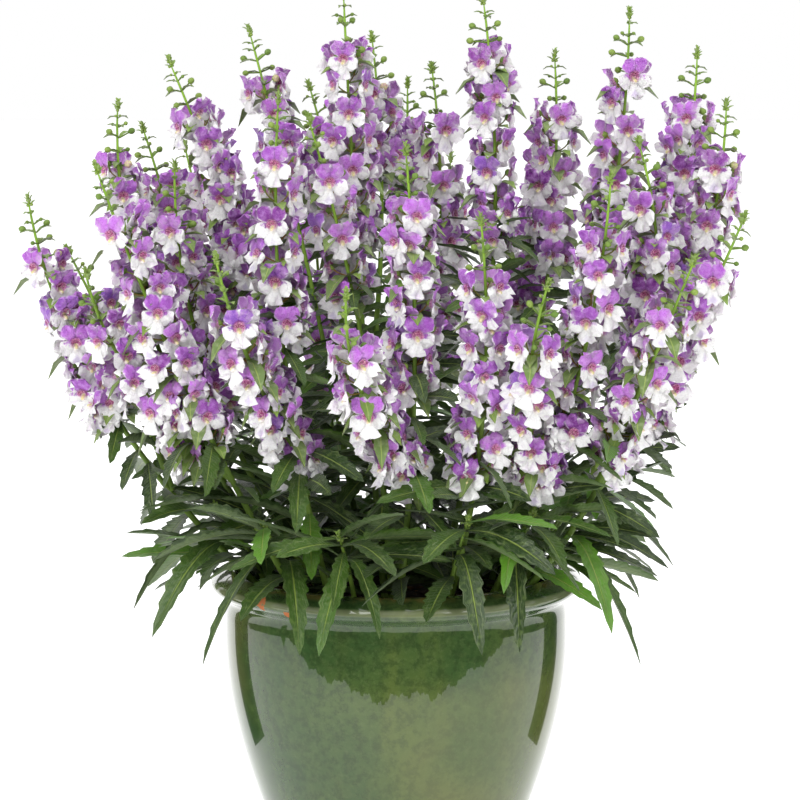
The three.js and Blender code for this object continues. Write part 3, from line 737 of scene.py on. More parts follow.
def leaf_skin(skin, leaf):
    """A leaf: narrow at its foot, broadest past its middle, with a pointed tip. Its blade folds up along the
    rib, waves, and rolls a little to one side."""
    share, edge = leaf_rows(leaf.length)
    t = share[:, None]
    spine = (1 - t) ** 2 * leaf.point + 2 * t * (1 - t) * leaf.top + t**2 * leaf.tip
    along = unit((1 - t) * (leaf.top - leaf.point) + t * (leaf.tip - leaf.top))
    across = unit(np.cross(along, UP))
    upper = np.cross(across, along)
    roll = (leaf.draw - 0.5) * (LEAF_ROLL[0] + LEAF_ROLL[1] * t)
    side = -(np.cos(roll) * across + np.sin(roll) * upper)
    face = np.cos(roll) * upper - np.sin(roll) * across
    breadth = FINE_BREADTH + SHORT_BREADTH * (1 - leaf.length / LEAF_LENGTH)
    half = breadth * leaf_half(share, leaf.length) * edge
    half = np.maximum(half, np.where(share < 0.5, *LEAST_HALF))
    wave = LEAF_WAVE * np.sin(9 * t + 12 * leaf.draw)
    lift = half[:, None] * (LEAF_FOLD + wave) * np.abs(LEAF_ACROSS)
    thickness = LEAF_THICKNESS[0] - LEAF_THICKNESS[1] * share
    rings = leaf_rings(spine, side, face, half, lift, thickness)
    skin.add(rings, leaf_spots(share), leaf.draw, LEAF_PAINT)


BRACT_SHARES = np.array([0, 0.25, 0.6, 1])
BRACT_FORM = np.array([0.3, 0.85, 1, 0.06])
BRACT_BREADTH = 0.2
BRACT_TIP = [0.15, 0.5]  # how far its tip rises, in shares of its length, and how much lower it may be
BRACT_ARCH = [0.5, 0.2]  # how far out and up its arch bends, in shares of its length
BRACT_FOLD = 0.45
BRACT_THICKNESS = 0.4


def bract_skin(skin, point, reach, length, draw, breadth=BRACT_BREADTH):
    """A small leaf under a floret or a bud: folded along its rib, and arched out and down."""
    t = BRACT_SHARES[:, None]
    tip = point + reach * length + UP * length * (BRACT_TIP[0] - BRACT_TIP[1] * draw)
    bend = point + reach * BRACT_ARCH[0] * length + UP * BRACT_ARCH[1] * length
    spine = bezier(point, bend, tip, len(BRACT_SHARES) - 1)
    forward = unit(np.gradient(spine, axis=0))
    across = unit(np.cross(forward, UP))
    upper = np.cross(across, forward)
    half = BRACT_FORM * length * breadth
    lift = half[:, None] * BRACT_FOLD * np.abs(LEAF_ACROSS)
    rings = leaf_rings(spine, -across, upper, half, lift, np.full(len(BRACT_SHARES), BRACT_THICKNESS))
    skin.add(rings, leaf_spots(BRACT_SHARES), draw, BRACT_PAINT)


BUD_SHARES = np.array([0, 0.14, 0.4, 0.66, 0.88, 1])
BUD_SIDES = 6
BUD_STALK_RADIUS = 0.5
LARGEST_BUD = 3.1


def bud_skin(skin, bud):
    """A bud: a round drop, whose radius follows a half circle along it, on a thin stalk."""
    bend = bud.point + bud.reach * 0.6 * np.linalg.norm(bud.middle - bud.point)
    stalk = bezier(bud.point, bend, bud.middle, 3)
    stalk_radii = np.full(4, min(BUD_STALK_RADIUS, 0.35 * bud.radius))
    skin.add(tube(stalk, stalk_radii, 4), np.zeros(3), bud.draw, STEM_PAINT)
    shares = BUD_SHARES[:, None]
    path = bud.middle + bud.reach * ((shares - 0.35) * 2.3 * bud.radius)
    radii = bud.radius * np.sqrt(np.clip(1 - (2 * BUD_SHARES - 1) ** 2, 0.03, 1))
    spots = np.stack(np.broadcast_arrays(shares, bud.radius / LARGEST_BUD, np.zeros((1, BUD_SIDES))), -1)
    skin.add(tube(path, radii, BUD_SIDES), spots, bud.draw, BUD_PAINT)


TUFT_PAIRS = 5
TUFT_PLACES = [0.4, 1.5]  # how far below the tip the first pair grows, and each next one below the last
TUFT_RISES = [1.7, 0.26]  # how much the first pair rises, and how much less each next one does
TUFT_LENGTHS = [3.6, 0.6]  # of the first pair, and how much longer each next one is
TUFT_WANDER = 1.2
TUFT_BREADTH = 0.27
KNOB_OUT = 1.6
KNOB_SIZES = [0.6, 0.13]  # of the first pair, and how much larger each next one is
KNOB_HEIGHTS = np.array([-0.9, -0.3, 0.5, 1.0])
KNOB_RADII = np.array([0.5, 1, 0.9, 0.3])


def tuft_skin(skin, stem, number):
    """The tip of a stem: pairs of little leaves round it, longer and more spread downwards, each with a bud."""
    for k in range(TUFT_PAIRS):
        point, along = stem.place(stem.length - TUFT_PLACES[0] - TUFT_PLACES[1] * k)
        for side in (0, 1):
            draw = chance(number, 2 * k + side, 130)
            turn = math.pi * (0.5 * k + side) + TUFT_WANDER * (draw - 0.5) + number
            reach = reach_from(along, turn, TUFT_RISES[0] - TUFT_RISES[1] * k)
            length = (TUFT_LENGTHS[0] + TUFT_LENGTHS[1] * k) * (0.7 + 0.6 * draw)
            bract_skin(skin, point, reach, length, 0.3 * draw, TUFT_BREADTH)
            knob = point + reach * KNOB_OUT + along * KNOB_HEIGHTS[:, None]
            rings = tube(knob, KNOB_RADII * (KNOB_SIZES[0] + KNOB_SIZES[1] * k), 5)
            skin.add(rings, np.array([0.5, 0.2, 0]), 0.9, BUD_PAINT)


CALYX_DEPTHS = [-6.0, -5.3, -4.5, -3.9]
CALYX_RADII = [0.7, 1.9, 2.5, 2.7]
STALK_RADII = [0.6, 0.48, 0.46, 0.5, 0.7]
STALK_BEND = 9


def stalk_skin(skin, bloom):
    """A floret's stalk, from the stem to the back of the floret, and the pointed calyx that holds it."""
    depths = np.array(CALYX_DEPTHS)[:, None] * bloom.size
    cup = bloom.middle + bloom.forward * depths
    path = bezier(bloom.point, bloom.point + bloom.reach * STALK_BEND, cup[1], len(STALK_RADII) - 1)
    stalk = tube(path, STALK_RADII, 4)
    skin.add(stalk, np.array([0.1, 1, 0]), bloom.draw, STEM_PAINT)
    skin.add(tube(cup, CALYX_RADII, 5, UP), np.array([0.3, 0.1, 0]), bloom.draw, BUD_PAINT)


# A floret's lobes, in shares of its half width: the bearing that each points to in degrees, its length and half
# its breadth from LOBE_ROOT outwards, how far it bends back (-) or forward at its end, how deep its end is
# notched, and the forms of its sides.
ROUND_SIDES = [0.42, 0.84, 1.0, 0.9, 0.55]
NECKED_SIDES = [0.4, 0.5, 0.84, 1.0, 0.78]
LOBES = [
    [120, 0.86, 0.45, -0.2, 0.0, ROUND_SIDES],
    [60, 0.86, 0.45, -0.24, 0.0, ROUND_SIDES],
    [208, 0.8, 0.43, 0.04, 0.06, ROUND_SIDES],
    [-28, 0.8, 0.43, 0.04, 0.06, ROUND_SIDES],
    [-90, 1.08, 0.54, 0.06, 0.14, NECKED_SIDES],
]
LOBE_ROOT = 0.17
LOBE_SHARES = np.array([0, 0.3, 0.62, 0.88, 1.0])
LOBE_ROUNDING = 0.2
LOBE_WANDER = 16
LOBE_STRETCH, LOBE_SPREAD = 0.14, 0.12  # how much the length and the breadth differ from floret to floret
LOBE_CUP = [-0.2, 0.26]  # how far forward a lobe starts, and how far it comes to its end
LOBE_ARCH = 0.1
SCALLOP = [0.07, 6.5]  # the size and the pitch of the waves along a lobe's end,
RUFFLE = [0.16, 5.2]  # of those across it,
RIPPLE = [0.08, 7]  # and of those from its root to its end
PETAL_THICKNESS = 0.03
FLORET_FORMS = 17
PETAL_ROLL = 0.3


def lobe_rings(form, number, bearing, length, half, bend, notch, sides):
    """A lobe of a floret: a blade that leaves the throat, flares, and has a rounded, ruffled end. Its end is
    drawn back at the sides by LOBE_ROUNDING and at the middle by the notch."""
    draw = [chance(form, number, n) - 0.5 for n in range(5)]
    turn = math.radians(bearing + LOBE_WANDER * draw[0])
    direction, side = (math.cos(turn), math.sin(turn)), (-math.sin(turn), math.cos(turn))
    share = LOBE_SHARES[:, None]
    t = LOBE_ACROSS[None]
    drawn = LOBE_ROUNDING * t**2 * share**3 + notch * (1 - np.abs(t)) * share**6
    scallop = SCALLOP[0] * np.sin(SCALLOP[1] * t + 20 * draw[1]) * share**2
    far = LOBE_ROOT + length * (share - drawn + scallop) * (1 + LOBE_STRETCH * draw[2])
    out = half * np.array(sides)[:, None] * t * (1 + LOBE_SPREAD * draw[3])
    ruffle = RUFFLE[0] * np.sin(RUFFLE[1] * t + 25 * draw[4]) * share**1.5
    ruffle = ruffle + RIPPLE[0] * np.sin(RIPPLE[1] * share + 9 * draw[2])
    w = LOBE_CUP[0] + LOBE_CUP[1] * share**0.6 + bend * share**2 - LOBE_ARCH * t**2 * share + ruffle * share
    w = w + 0.5 * PETAL_THICKNESS * LOBE_LAYER
    u = far * direction[0] + out * side[0]
    v = far * direction[1] + out * side[1]
    return np.stack(np.broadcast_arrays(u, v, w), -1)


THROAT_RINGS = [  # radius, forward and front or back of each ring of the tube, from the calyx to the throat
    [0.11, -0.42, -1],
    [0.22, -0.26, -1],
    [0.31, -0.03, 0],
    [0.25, -0.10, 1],
    [0.08, -0.30, 1],
]
THROAT_SIDES = 7


def throat_rings():
    """The floret's tube: rings from the calyx out to the rim of the throat, and back into its hollow."""
    turn = 2 * np.pi * np.arange(THROAT_SIDES) / THROAT_SIDES
    radius, forward, _ = np.array(THROAT_RINGS).T
    u = radius[:, None] * np.cos(turn)
    v = radius[:, None] * np.sin(turn) * 1.05 - 0.02
    return np.stack([u, v, np.repeat(forward[:, None], THROAT_SIDES, 1)], -1)


HUMP_SIDES = 6
HUMP_RINGS = np.array([[0.13, -0.16], [0.12, 0.02], [0.07, 0.09]])  # radius and forward
HUMP_LOW = 0.27


def hump_rings():
    """The swelling at the foot of the lower lobe."""
    turn = 2 * np.pi * np.arange(HUMP_SIDES) / HUMP_SIDES
    radius, forward = HUMP_RINGS.T[:, :, None]
    u, v = radius * np.cos(turn), radius * np.sin(turn) - HUMP_LOW
    return np.stack(np.broadcast_arrays(u, v, forward), -1)


def petal_spots(rings, layer):
    """A floret's spots: how far across and up on its face, in shares of its half width, and the layer."""
    return np.stack(np.broadcast_arrays(rings[..., 0], rings[..., 1], layer), -1)


def floret_forms():
    """The florets' forms: each is a list of rings with their spots, in shares of the half width."""
    throat, hump = (throat_rings(), np.array(THROAT_RINGS)[:, 2:]), (hump_rings(), 1.0)
    forms = []
    for form in range(FLORET_FORMS):
        lobes = [(lobe_rings(form, number, *lobe), LOBE_LAYER) for number, lobe in enumerate(LOBES)]
        forms.append([(rings, petal_spots(rings, layer)) for rings, layer in (*lobes, throat, hump)])
    return forms


def petals_skin(skin, bloom, forms):
    """A floret's petals: one of the forms, put at the bloom's place."""
    roll = PETAL_ROLL * (bloom.draw - 0.5)
    for rings, spots in forms[int(bloom.draw * 991) % FLORET_FORMS]:
        u, v, w = np.moveaxis(rings, -1, 0)
        turned = u * math.cos(roll) - v * math.sin(roll), u * math.sin(roll) + v * math.cos(roll)
        skin.add(bloom.on(*turned, w), spots, bloom.draw)


def tint(red, green, blue):
    """A linear colour from the 0 to 255 values of a picture."""
    values = [c / 255 for c in (red, green, blue)]
    return (*[c / 12.92 if c <= 0.04045 else ((c + 0.055) / 1.055) ** 2.4 for c in values], 1.0)


class Value:
    """A shader socket that takes part in sums: each operator adds its Math node."""

    def __init__(self, paint, socket):
        self.paint, self.socket = paint, socket

    def math(self, operation, *others):
        return self.paint.node("ShaderNodeMath", {"operation": operation}, dict(enumerate((self, *others))))

    def __add__(self, other):
        return self.math("ADD", other)

    def __sub__(self, other):
        return self.math("SUBTRACT", other)

    def __rsub__(self, other):
        return self * -1 + other

    def __mul__(self, other):
        return self.math("MULTIPLY", other)

    def __pow__(self, other):
        return self.math("POWER", other)

    __radd__, __rmul__ = __add__, __mul__

    def size(self):
        return self.math("ABSOLUTE")

    def fraction(self):
        return self.math("FRACT")

    def sine(self):
        return self.math("SINE")

    def most(self, other):
        return self.math("MAXIMUM", other)

    def step(self, low, high):
        """0 below low, 1 above high and smooth between."""
        sockets = {"Value": self, "From Min": low, "From Max": high}
        return self.paint.node("ShaderNodeMapRange", {"interpolation_type": "SMOOTHSTEP"}, sockets)


class Paint:
    """A material and its nodes, round one Principled shader."""

    def __init__(self, name, **constants):
        self.material = bpy.data.materials.new(name)
        self.material.use_nodes = True
        self.tree = self.material.node_tree
        self.shader = self.tree.nodes["Principled BSDF"]
        for socket, value in constants.items():
            self.shader.inputs[socket.replace("_", " ")].default_value = value

    def put(self, socket, value):
        if isinstance(value, Value):
            self.tree.links.new(value.socket, socket)
        else:
            socket.default_value = value

    def node(self, kind, settings=None, sockets=None, output=0):
        made = self.tree.nodes.new(kind)
        for name, value in (settings or {}).items():
            setattr(made, name, value)
        for name, value in (sockets or {}).items():
            self.put(made.inputs[name], value)
        return Value(self, made.outputs[output])

    def mix(self, factor, first, second):
        """The first colour where the factor is 0, and the second where it is 1."""
        made = self.tree.nodes.new("ShaderNodeMix")
        made.data_type = "RGBA"
        for n, value in ((0, factor), (6, first), (7, second)):
            self.put(made.inputs[n], value)
        return Value(self, made.outputs[2])

    def attribute(self, name, output):
        return self.node("ShaderNodeAttribute", {"attribute_name": name}, output=output)

    def parts(self, vector):
        """The three numbers of a vector."""
        made = self.tree.nodes.new("ShaderNodeSeparateXYZ")
        self.put(made.inputs[0], vector)
        return [Value(self, output) for output in made.outputs]

    def spots(self):
        return self.parts(self.attribute("spot", "Vector"))

    def place(self):
        return self.node("ShaderNodeTexCoord", output="Object")

    def noise(self, scale, detail=3, vector=None, rough=0.5, output=0):
        sockets = {"Scale": scale, "Detail": detail, "Roughness": rough, "Vector": vector or self.place()}
        return self.node("ShaderNodeTexNoise", sockets=sockets, output=output)

    def stretched(self, vector, scale):
        return self.node("ShaderNodeVectorMath", {"operation": "MULTIPLY"}, {0: vector, 1: scale})

    def joined(self, x, y, z):
        return self.node("ShaderNodeCombineXYZ", sockets={0: x, 1: y, 2: z})

    def finish(self, colour, roughness=None, height=None, strength=0.3, distance=0.001):
        self.put(self.shader.inputs["Base Color"], colour)
        if roughness is not None:
            self.put(self.shader.inputs["Roughness"], roughness)
        if height is not None:
            sockets = {"Strength": strength, "Distance": distance, "Height": height}
            self.put(self.shader.inputs["Normal"], self.node("ShaderNodeBump", sockets=sockets))
        return self.material


def petal_paint():
    """Violet upper lobes, white side and lower lobes, a rose throat with dark specks, and a cream hump."""
    soft = {"Subsurface_Weight": 0.5, "Subsurface_Scale": 0.002, "Subsurface_Radius": (1.0, 0.9, 1.0)}
    p = Paint("petals", Specular_IOR_Level=0.3, Sheen_Weight=0.1, **soft)
    u, v, layer = p.spots()
    draw = p.attribute("draw", "Fac")
    own = p.joined(u, v, draw * 37.0)
    grain, fine, crinkle = p.noise(3.4, 3, own), p.noise(11.0, 2, own), p.noise(27.0, 2, own)
    violet = p.mix(draw.step(0.1, 0.8), tint(150, 70, 176), tint(190, 112, 214))
    violet = p.mix((draw * 7.3).fraction().step(0.84, 0.92), violet, tint(124, 38, 140))
    violet = p.mix((draw * 9.1).fraction().step(0.9, 0.96) * 0.6, violet, tint(132, 92, 196))
    violet = p.mix(grain.step(0.38, 0.72) * 0.6, violet, tint(206, 156, 226))
    violet = p.mix(fine.step(0.5, 0.75) * 0.45, violet, tint(120, 46, 148))
    violet = p.mix(crinkle.step(0.5, 0.7) * 0.3, violet, tint(216, 176, 232))
    rim = 1 - layer.size().step(0.05, 0.6)
    violet = p.mix(rim * (draw * 5.7).fraction() * 0.65, violet, tint(236, 220, 240))
    from_throat = (u * u + (v + 0.02) * (v + 0.02)) ** 0.5
    edge = from_throat - v * 0.8 - u.size() * 0.46 - 0.27 + (grain - 0.5) * 0.5 + (fine - 0.5) * 0.3 + rim * 0.12
    white = p.mix(fine.step(0.42, 0.7) * 0.5, tint(254, 252, 253), tint(232, 226, 234))
    white = p.mix(crinkle.step(0.5, 0.7) * 0.3, white, tint(236, 232, 212))
    near_middle = 1 - ((v + 0.92).size() + u.size()).step(0.12, 0.4)
    white = p.mix(near_middle * (draw * 3.7).fraction().step(0.3, 0.7) * 0.5, white, tint(176, 150, 214))
    colour = p.mix(edge.step(-0.06, 0.13), violet, white)
    rose = p.mix(fine.step(0.42, 0.62), tint(216, 132, 172), tint(170, 62, 116))
    colour = p.mix((1 - (from_throat + (grain - 0.5) * 0.2).step(0.2, 0.36)) * 0.85, colour, rose)
    cream = (1 - u.size().step(0.06, 0.18)) * (1 - v.step(-0.16, -0.06)) * v.step(-0.62, -0.3)
    colour = p.mix(cream * 0.8, colour, tint(246, 238, 226))
    from_hump = (u * u + (v + 0.2) * (v + 0.2)) ** 0.5
    colour = p.mix((1 - from_hump.step(0.05, 0.13)) * 0.8, colour, tint(214, 206, 130))
    specks = p.noise(19.0, 1, own).step(0.53, 0.58) * (1 - from_throat.step(0.22, 0.36)) * v.step(-0.14, 0.02)
    colour = p.mix(specks * 0.85, colour, tint(84, 40, 44))
    teeth = p.noise(24.0, 1, own).step(0.6, 0.66) * (1 - from_throat.step(0.2, 0.32))
    colour = p.mix(teeth * 0.7, colour, tint(248, 234, 214))
    back = p.mix(0.3, colour, tint(206, 170, 216))
    colour = p.mix(layer.step(-0.6, -0.2), back, colour)
    return p.finish(colour, 0.42 + grain * 0.2, grain * 0.6 + fine * 0.5 + crinkle * 0.3, 0.9, 0.0016)


def leaf_paint():
    """Dark green with a thin pale rib, fine side veins, painted sheen as long pale grey streaks, and paler below."""
    p = Paint("leaf", Specular_IOR_Level=0.5, Sheen_Weight=0.05)
    share, across, layer = p.spots()
    draw = p.attribute("draw", "Fac")
    mottle, quilt, fine = p.noise(70, 3), p.noise(260, 2), p.noise(900, 2)
    green = p.mix(draw.step(0.1, 0.9), tint(26, 52, 4), tint(60, 94, 16))
    green = p.mix((draw * 5.3).fraction().step(0.8, 0.94), green, tint(92, 144, 34))
    # Painted sheen: long pale grey streaks along the blade stand for its shine; they are also made rougher.
    painted_sheen = p.noise(5, 4, p.joined(share * 1.1, across * 2.4, draw * 31.0), 0.65)
    green = p.mix(painted_sheen.step(0.5, 0.7) * 0.7, green, tint(136, 148, 108))
    green = p.mix(mottle.step(0.4, 0.7) * 0.35, green, tint(36, 60, 14))
    green = p.mix(quilt.step(0.5, 0.7) * 0.35, green, tint(106, 128, 62))
    veins = (share * 120.0 - across.size() * 9.0).sine()
    green = p.mix(veins.step(0.72, 1.0) * 0.08 * (1 - across.size().step(0.7, 1.0)), green, tint(104, 128, 66))
    rib = 1 - across.size().step(0.03, 0.1)
    green = p.mix(rib * (1 - share.step(0.7, 1.0)) * 0.75, green, tint(142, 162, 72))
    below = p.mix(0.5, green, tint(112, 130, 88))
    colour = p.mix(layer.step(-0.6, -0.2), below, green)
    height = veins * 0.1 + rib * -0.9 + fine * 0.3 + quilt * 0.9 + mottle * 0.5
    return p.finish(colour, 0.26 + painted_sheen * 0.35, height, 0.6, 0.0009)


def bract_paint():
    """Light grey-green with a pale grey mottle painted as sheen, greener towards the tip of a stem, with a pale rib.
    """
    p = Paint("bract", Specular_IOR_Level=0.45, Sheen_Weight=0.08)
    share, across, layer = p.spots()
    draw = p.attribute("draw", "Fac")
    mottle = p.noise(260, 3)
    green = p.mix(draw.step(0.2, 0.9), tint(128, 162, 60), tint(102, 126, 66))
    # Painted sheen: the pale grey mottle stands for the shine of the bracts.
    green = p.mix(mottle.step(0.45, 0.7) * 0.6, green, tint(154, 166, 122))
    green = p.mix((1 - across.size().step(0.04, 0.14)) * 0.7, green, tint(160, 178, 92))
    green = p.mix(across.size().step(0.8, 1.0) * 0.3, green, tint(120, 96, 80))
    colour = p.mix(layer.step(-0.6, -0.2), p.mix(0.5, green, tint(132, 150, 100)), green)
    return p.finish(colour, 0.35 + mottle * 0.3, mottle + share * 0.1, 0.4, 0.0005)


def stem_paint():
    """Dark green low down, and bright yellow-green towards the tips; stalks are browner."""
    p = Paint("stem", Specular_IOR_Level=0.4)
    height, stalk, _ = p.spots()
    draw = p.attribute("draw", "Fac")
    streak = p.noise(60, 3, p.stretched(p.place(), (6.0, 6.0, 0.7)))
    green = p.mix(height.step(0.15, 0.75), tint(108, 136, 52), tint(136, 178, 50))
    green = p.mix(streak.step(0.4, 0.7) * 0.4, green, tint(82, 112, 44))
    brown = p.mix(draw, tint(124, 132, 50), tint(146, 106, 58))
    colour = p.mix(stalk.step(0.3, 0.7), green, brown)
    return p.finish(colour, 0.42 + streak * 0.2, streak + p.noise(1500, 1) * 0.4, 0.35, 0.0004)


def bud_paint():
    """Green buds, pinkish cream where they are about to open."""
    p = Paint("bud", Specular_IOR_Level=0.4)
    share, size, _ = p.spots()
    draw = p.attribute("draw", "Fac")
    mottle = p.noise(700, 2)
    green = p.mix(draw, tint(96, 128, 48), tint(138, 162, 72))
    green = p.mix(mottle.step(0.4, 0.7) * 0.35, green, tint(78, 106, 46))
    cream = p.mix(mottle.step(0.4, 0.65), tint(222, 208, 160), tint(204, 150, 170))
    colour = p.mix(size.step(0.8, 0.97) * share.step(0.3, 0.62), green, cream)
    return p.finish(colour, 0.45, mottle, 0.4, 0.0004)


POT_ROUND = 120


def body_radius(z):
    """The pot's outer wall swells from the foot as a quarter wave and is widest below the neck."""
    return FOOT_RADIUS + (BODY_RADIUS - FOOT_RADIUS) * np.sin(np.pi / 2 * z / BODY_WIDEST_Z) ** BODY_FULLNESS


def lathe(skin, profile, around):
    """A closed skin turned about the pot's axis: each point of the profile, which goes from one end on the axis to
    the other, becomes a circle of its radius at its height."""
    turn = 2 * np.pi * np.arange(around) / around
    radius, z = np.array(profile, float).T[:, :, None]
    rings = np.stack(np.broadcast_arrays(radius * np.cos(turn), radius * np.sin(turn), z), -1)
    skin.add(rings, np.zeros(3), 0.5)


def pot_profile():
    """The pot from the middle of its base, up the wall and over the lip, down inside to the middle of its floor."""
    outer = [[body_radius(z), z] for z in np.linspace(2.5, BODY_WIDEST_Z, 26)]
    lip = [
        [NECK_RADIUS + 1.0, 190],
        [NECK_RADIUS, NECK_Z],
        [LIP_RADIUS - 4, NECK_Z + 4.2],
        [LIP_RADIUS, LIP_Z - 2],
        [LIP_RADIUS, LIP_Z + 1.5],
        [LIP_RADIUS - 3, LIP_Z + 5],
        [LIP_TOP_RADIUS + 4, POT_HEIGHT],
        [LIP_TOP_RADIUS - 1, POT_HEIGHT],
        [LIP_TOP_RADIUS - 2.5, POT_HEIGHT - 4],
    ]
    points = np.array(lip, float)
    for _ in range(2):
        cut = np.stack([0.75 * points[:-1] + 0.25 * points[1:], 0.25 * points[:-1] + 0.75 * points[1:]], 1)
        points = np.concatenate([points[:1], cut.reshape(-1, 2), points[-1:]])
    inner = [[body_radius(z) - WALL, z] for z in np.linspace(150, FLOOR + 4, 12)]
    base = [[0.01, 0], [FOOT_RADIUS * 0.5, 0], [FOOT_RADIUS - 2.5, 0], [FOOT_RADIUS - 0.7, 0.7]]
    bottom = [[body_radius(FLOOR) - WALL - 5, FLOOR], [0.01, FLOOR]]
    return [*base, *outer, *points.tolist(), *inner, *bottom]


# The middles of the bare chips in the lip's glaze, in metres.
CLAY_CHIPS = [
    [-0.086, -0.088, 0.2125],
    [-0.0625, -0.1055, 0.2055],
    [-0.068, -0.1025, 0.2065],
]


def glaze_paint():
    """A deep green glaze: mottled and streaked, thin and paler round the lip, with painted shade under the lip and a
    painted lighter reflection on the right of the body, and bare clay where it is chipped and on the base."""
    p = Paint("glaze", Coat_Roughness=0.01, Coat_IOR=1.52, Specular_IOR_Level=0.1)
    place = p.place()
    x, _, z = p.parts(place)
    cloud = p.noise(13, 5, place, 0.62)
    streak = p.noise(30, 4, p.stretched(place, (1.0, 1.0, 0.16)), 0.6)
    sponge = p.noise(150, 4, place, 0.7)
    glaze = p.mix(cloud.step(0.35, 0.68), tint(48, 74, 38), tint(68, 88, 44))
    glaze = p.mix(streak.step(0.42, 0.75) * 0.6, glaze, tint(86, 98, 46))
    glaze = p.mix(sponge.step(0.42, 0.62) * 0.6, glaze, tint(38, 56, 28))
    glaze = p.mix(p.noise(330, 4, place, 0.75).step(0.45, 0.75) * 0.3, glaze, tint(96, 112, 66))
    warm = p.noise(7, 3, place).step(0.45, 0.65)
    glaze = p.mix(warm * 0.5, glaze, tint(96, 94, 52))
    # Painted reflection: the body is lighter to the right, below the shoulder, for the brighter reflection on that
    # side.
    glaze = p.mix(x.step(-0.08, 0.07) * 0.25 * (1 - z.step(0.15, 0.175)), glaze, tint(112, 118, 60))
    lip = z.step(0.2, 0.204)
    # Painted shade: a darker band on the underside of the lip's flare.
    glaze = p.mix(lip * (1 - z.step(0.206, 0.2085)) * 0.4, glaze, tint(44, 72, 36))
    pale = (1 - (z - 0.212).size().step(0.0012, 0.0028)) * lip
    glaze = p.mix(pale * 0.6, glaze, tint(132, 138, 104))
    ochre = z.step(0.2165, 0.2195) * p.noise(60, 3, place).step(0.42, 0.6)
    glaze = p.mix(ochre * 0.6, glaze, tint(128, 108, 58))
    bare = 1 - z.step(0.0008, 0.0022)
    for chip_x, chip_y, chip_z in CLAY_CHIPS:
        apart = p.node("ShaderNodeVectorMath", {"operation": "DISTANCE"}, {0: place, 1: (chip_x, chip_y, chip_z)}, 1)
        bare = bare.most(1 - (apart + (p.noise(160, 3, place) - 0.5) * 0.01).step(0.004, 0.0045))
    colour = p.mix(bare, glaze, tint(170, 104, 66))
    p.put(p.shader.inputs["Coat Weight"], 1 - bare)
    height = cloud * 0.5 + streak * 0.5 + sponge * 0.05 + bare * -0.4
    return p.finish(colour, 0.12 + bare * 0.6 + sponge * 0.12, height, 0.1, 0.0008)


def pot_piece():
    """The pot: a turned profile, with its drain holes cut through the base."""
    skin = Skin()
    lathe(skin, pot_profile(), POT_ROUND)
    pot = skin.piece("glazed_pot", [glaze_paint()], "glaze", "pot", sharp=50)
    holes = Skin()
    for i in range(DRAIN_HOLES):
        bearing = 2 * math.pi * (i + 0.5) / DRAIN_HOLES
        centre = np.array([DRAIN_OUT * math.cos(bearing), DRAIN_OUT * math.sin(bearing), 0])
        path = centre + UP * np.linspace(-FLOOR, 2 * FLOOR, 3)[:, None]
        holes.add(tube(path, np.full(3, DRAIN_RADIUS), 24), np.zeros(3), 0.5)
    cutter = bpy.data.objects.new("holes", holes.mesh("holes", []))
    bpy.context.scene.collection.objects.link(cutter)
    cut = pot.modifiers.new("drain", "BOOLEAN")
    cut.object, cut.operation, cut.solver = cutter, "DIFFERENCE", "EXACT"
    bpy.context.view_layer.update()
    shape = pot.evaluated_get(bpy.context.evaluated_depsgraph_get())
    pot_mesh = bpy.data.meshes.new_from_object(shape)
    pot.modifiers.clear()
    pot.data = pot_mesh
    bpy.data.objects.remove(cutter)


def soil_height(x, y):
    """The mix's top: a low crown with long and short bumps."""
    crown = SOIL_CROWN * (1 - (x**2 + y**2) / SOIL_RADIUS**2)
    long = 1.3 * np.sin(0.09 * x) * np.cos(0.11 * y)
    short = 0.7 * np.sin(0.37 * x + 0.9 * np.sin(0.21 * y)) * np.cos(0.33 * y + 1.3 * np.sin(0.17 * x))
    return SOIL_TOP + crown + long + short


SOIL_ROUND = 72
SOIL_WALL = [56, 100, 188]  # the heights of the rings between its bottom and its top
CHIP_COUNT = 420
CHIP_SIZE = 7.5
CHIP_SPREAD = 0.97  # of the mix's radius
LEAST_CHIP = 0.35
CHIP_LIFT = 0.3
CHIP_FLATNESS = 0.5
CHIP_ENDS = [-0.5, -0.3, 0.2, 0.5]
CHIP_RADII = [0.16, 0.34, 0.3, 0.12]


def mix_piece():
    """The potting mix: a lump that fills the pot, bumpy on top, with bark chips lying on it."""
    skin = Skin()
    turn = 2 * np.pi * np.arange(SOIL_ROUND) / SOIL_ROUND
    across, back = np.cos(turn), np.sin(turn)
    radius = SOIL_RADIUS * np.linspace(1, 0.01, 22)[:, None]
    top = np.stack([radius * across, radius * back, soil_height(radius * across, radius * back)], -1)
    heights = np.array([FLOOR + SOIL_GAP, FLOOR + SOIL_GAP, *SOIL_WALL])[:, None]
    radii = np.minimum(SOIL_RADIUS, body_radius(heights) - WALL - SOIL_GAP)
    radii[0] = 0.01
    wall = np.stack(np.broadcast_arrays(radii * across, radii * back, heights), -1)
    skin.add(np.concatenate([wall, top]), np.zeros(3), 0.0)
    for n in range(CHIP_COUNT):
        out = CHIP_SPREAD * SOIL_RADIUS * math.sqrt(chance(n, 0, 7))
        bearing, heading = 2 * math.pi * chance(n, 1, 7), 2 * math.pi * chance(n, 2, 7)
        size = CHIP_SIZE * (LEAST_CHIP + chance(n, 3, 7) ** 2)
        at = np.array([out * math.cos(bearing), out * math.sin(bearing), 0])
        at[2] = soil_height(at[0], at[1]) + CHIP_LIFT
        along = unit(np.array([math.cos(heading), math.sin(heading), 0.5 * (chance(n, 4, 7) - 0.5)]))
        path = at + along * size * np.array(CHIP_ENDS)[:, None]
        rings = tube(path, size * np.array(CHIP_RADII), 5, UP)
        rings[..., 2] = at[2] + CHIP_FLATNESS * (rings[..., 2] - at[2])
        skin.add(rings, np.zeros(3), 0.2 + 0.8 * chance(n, 5, 7))
    skin.piece("bark_mix", [bark_paint()], "mix", "potting_mix", sharp=40)


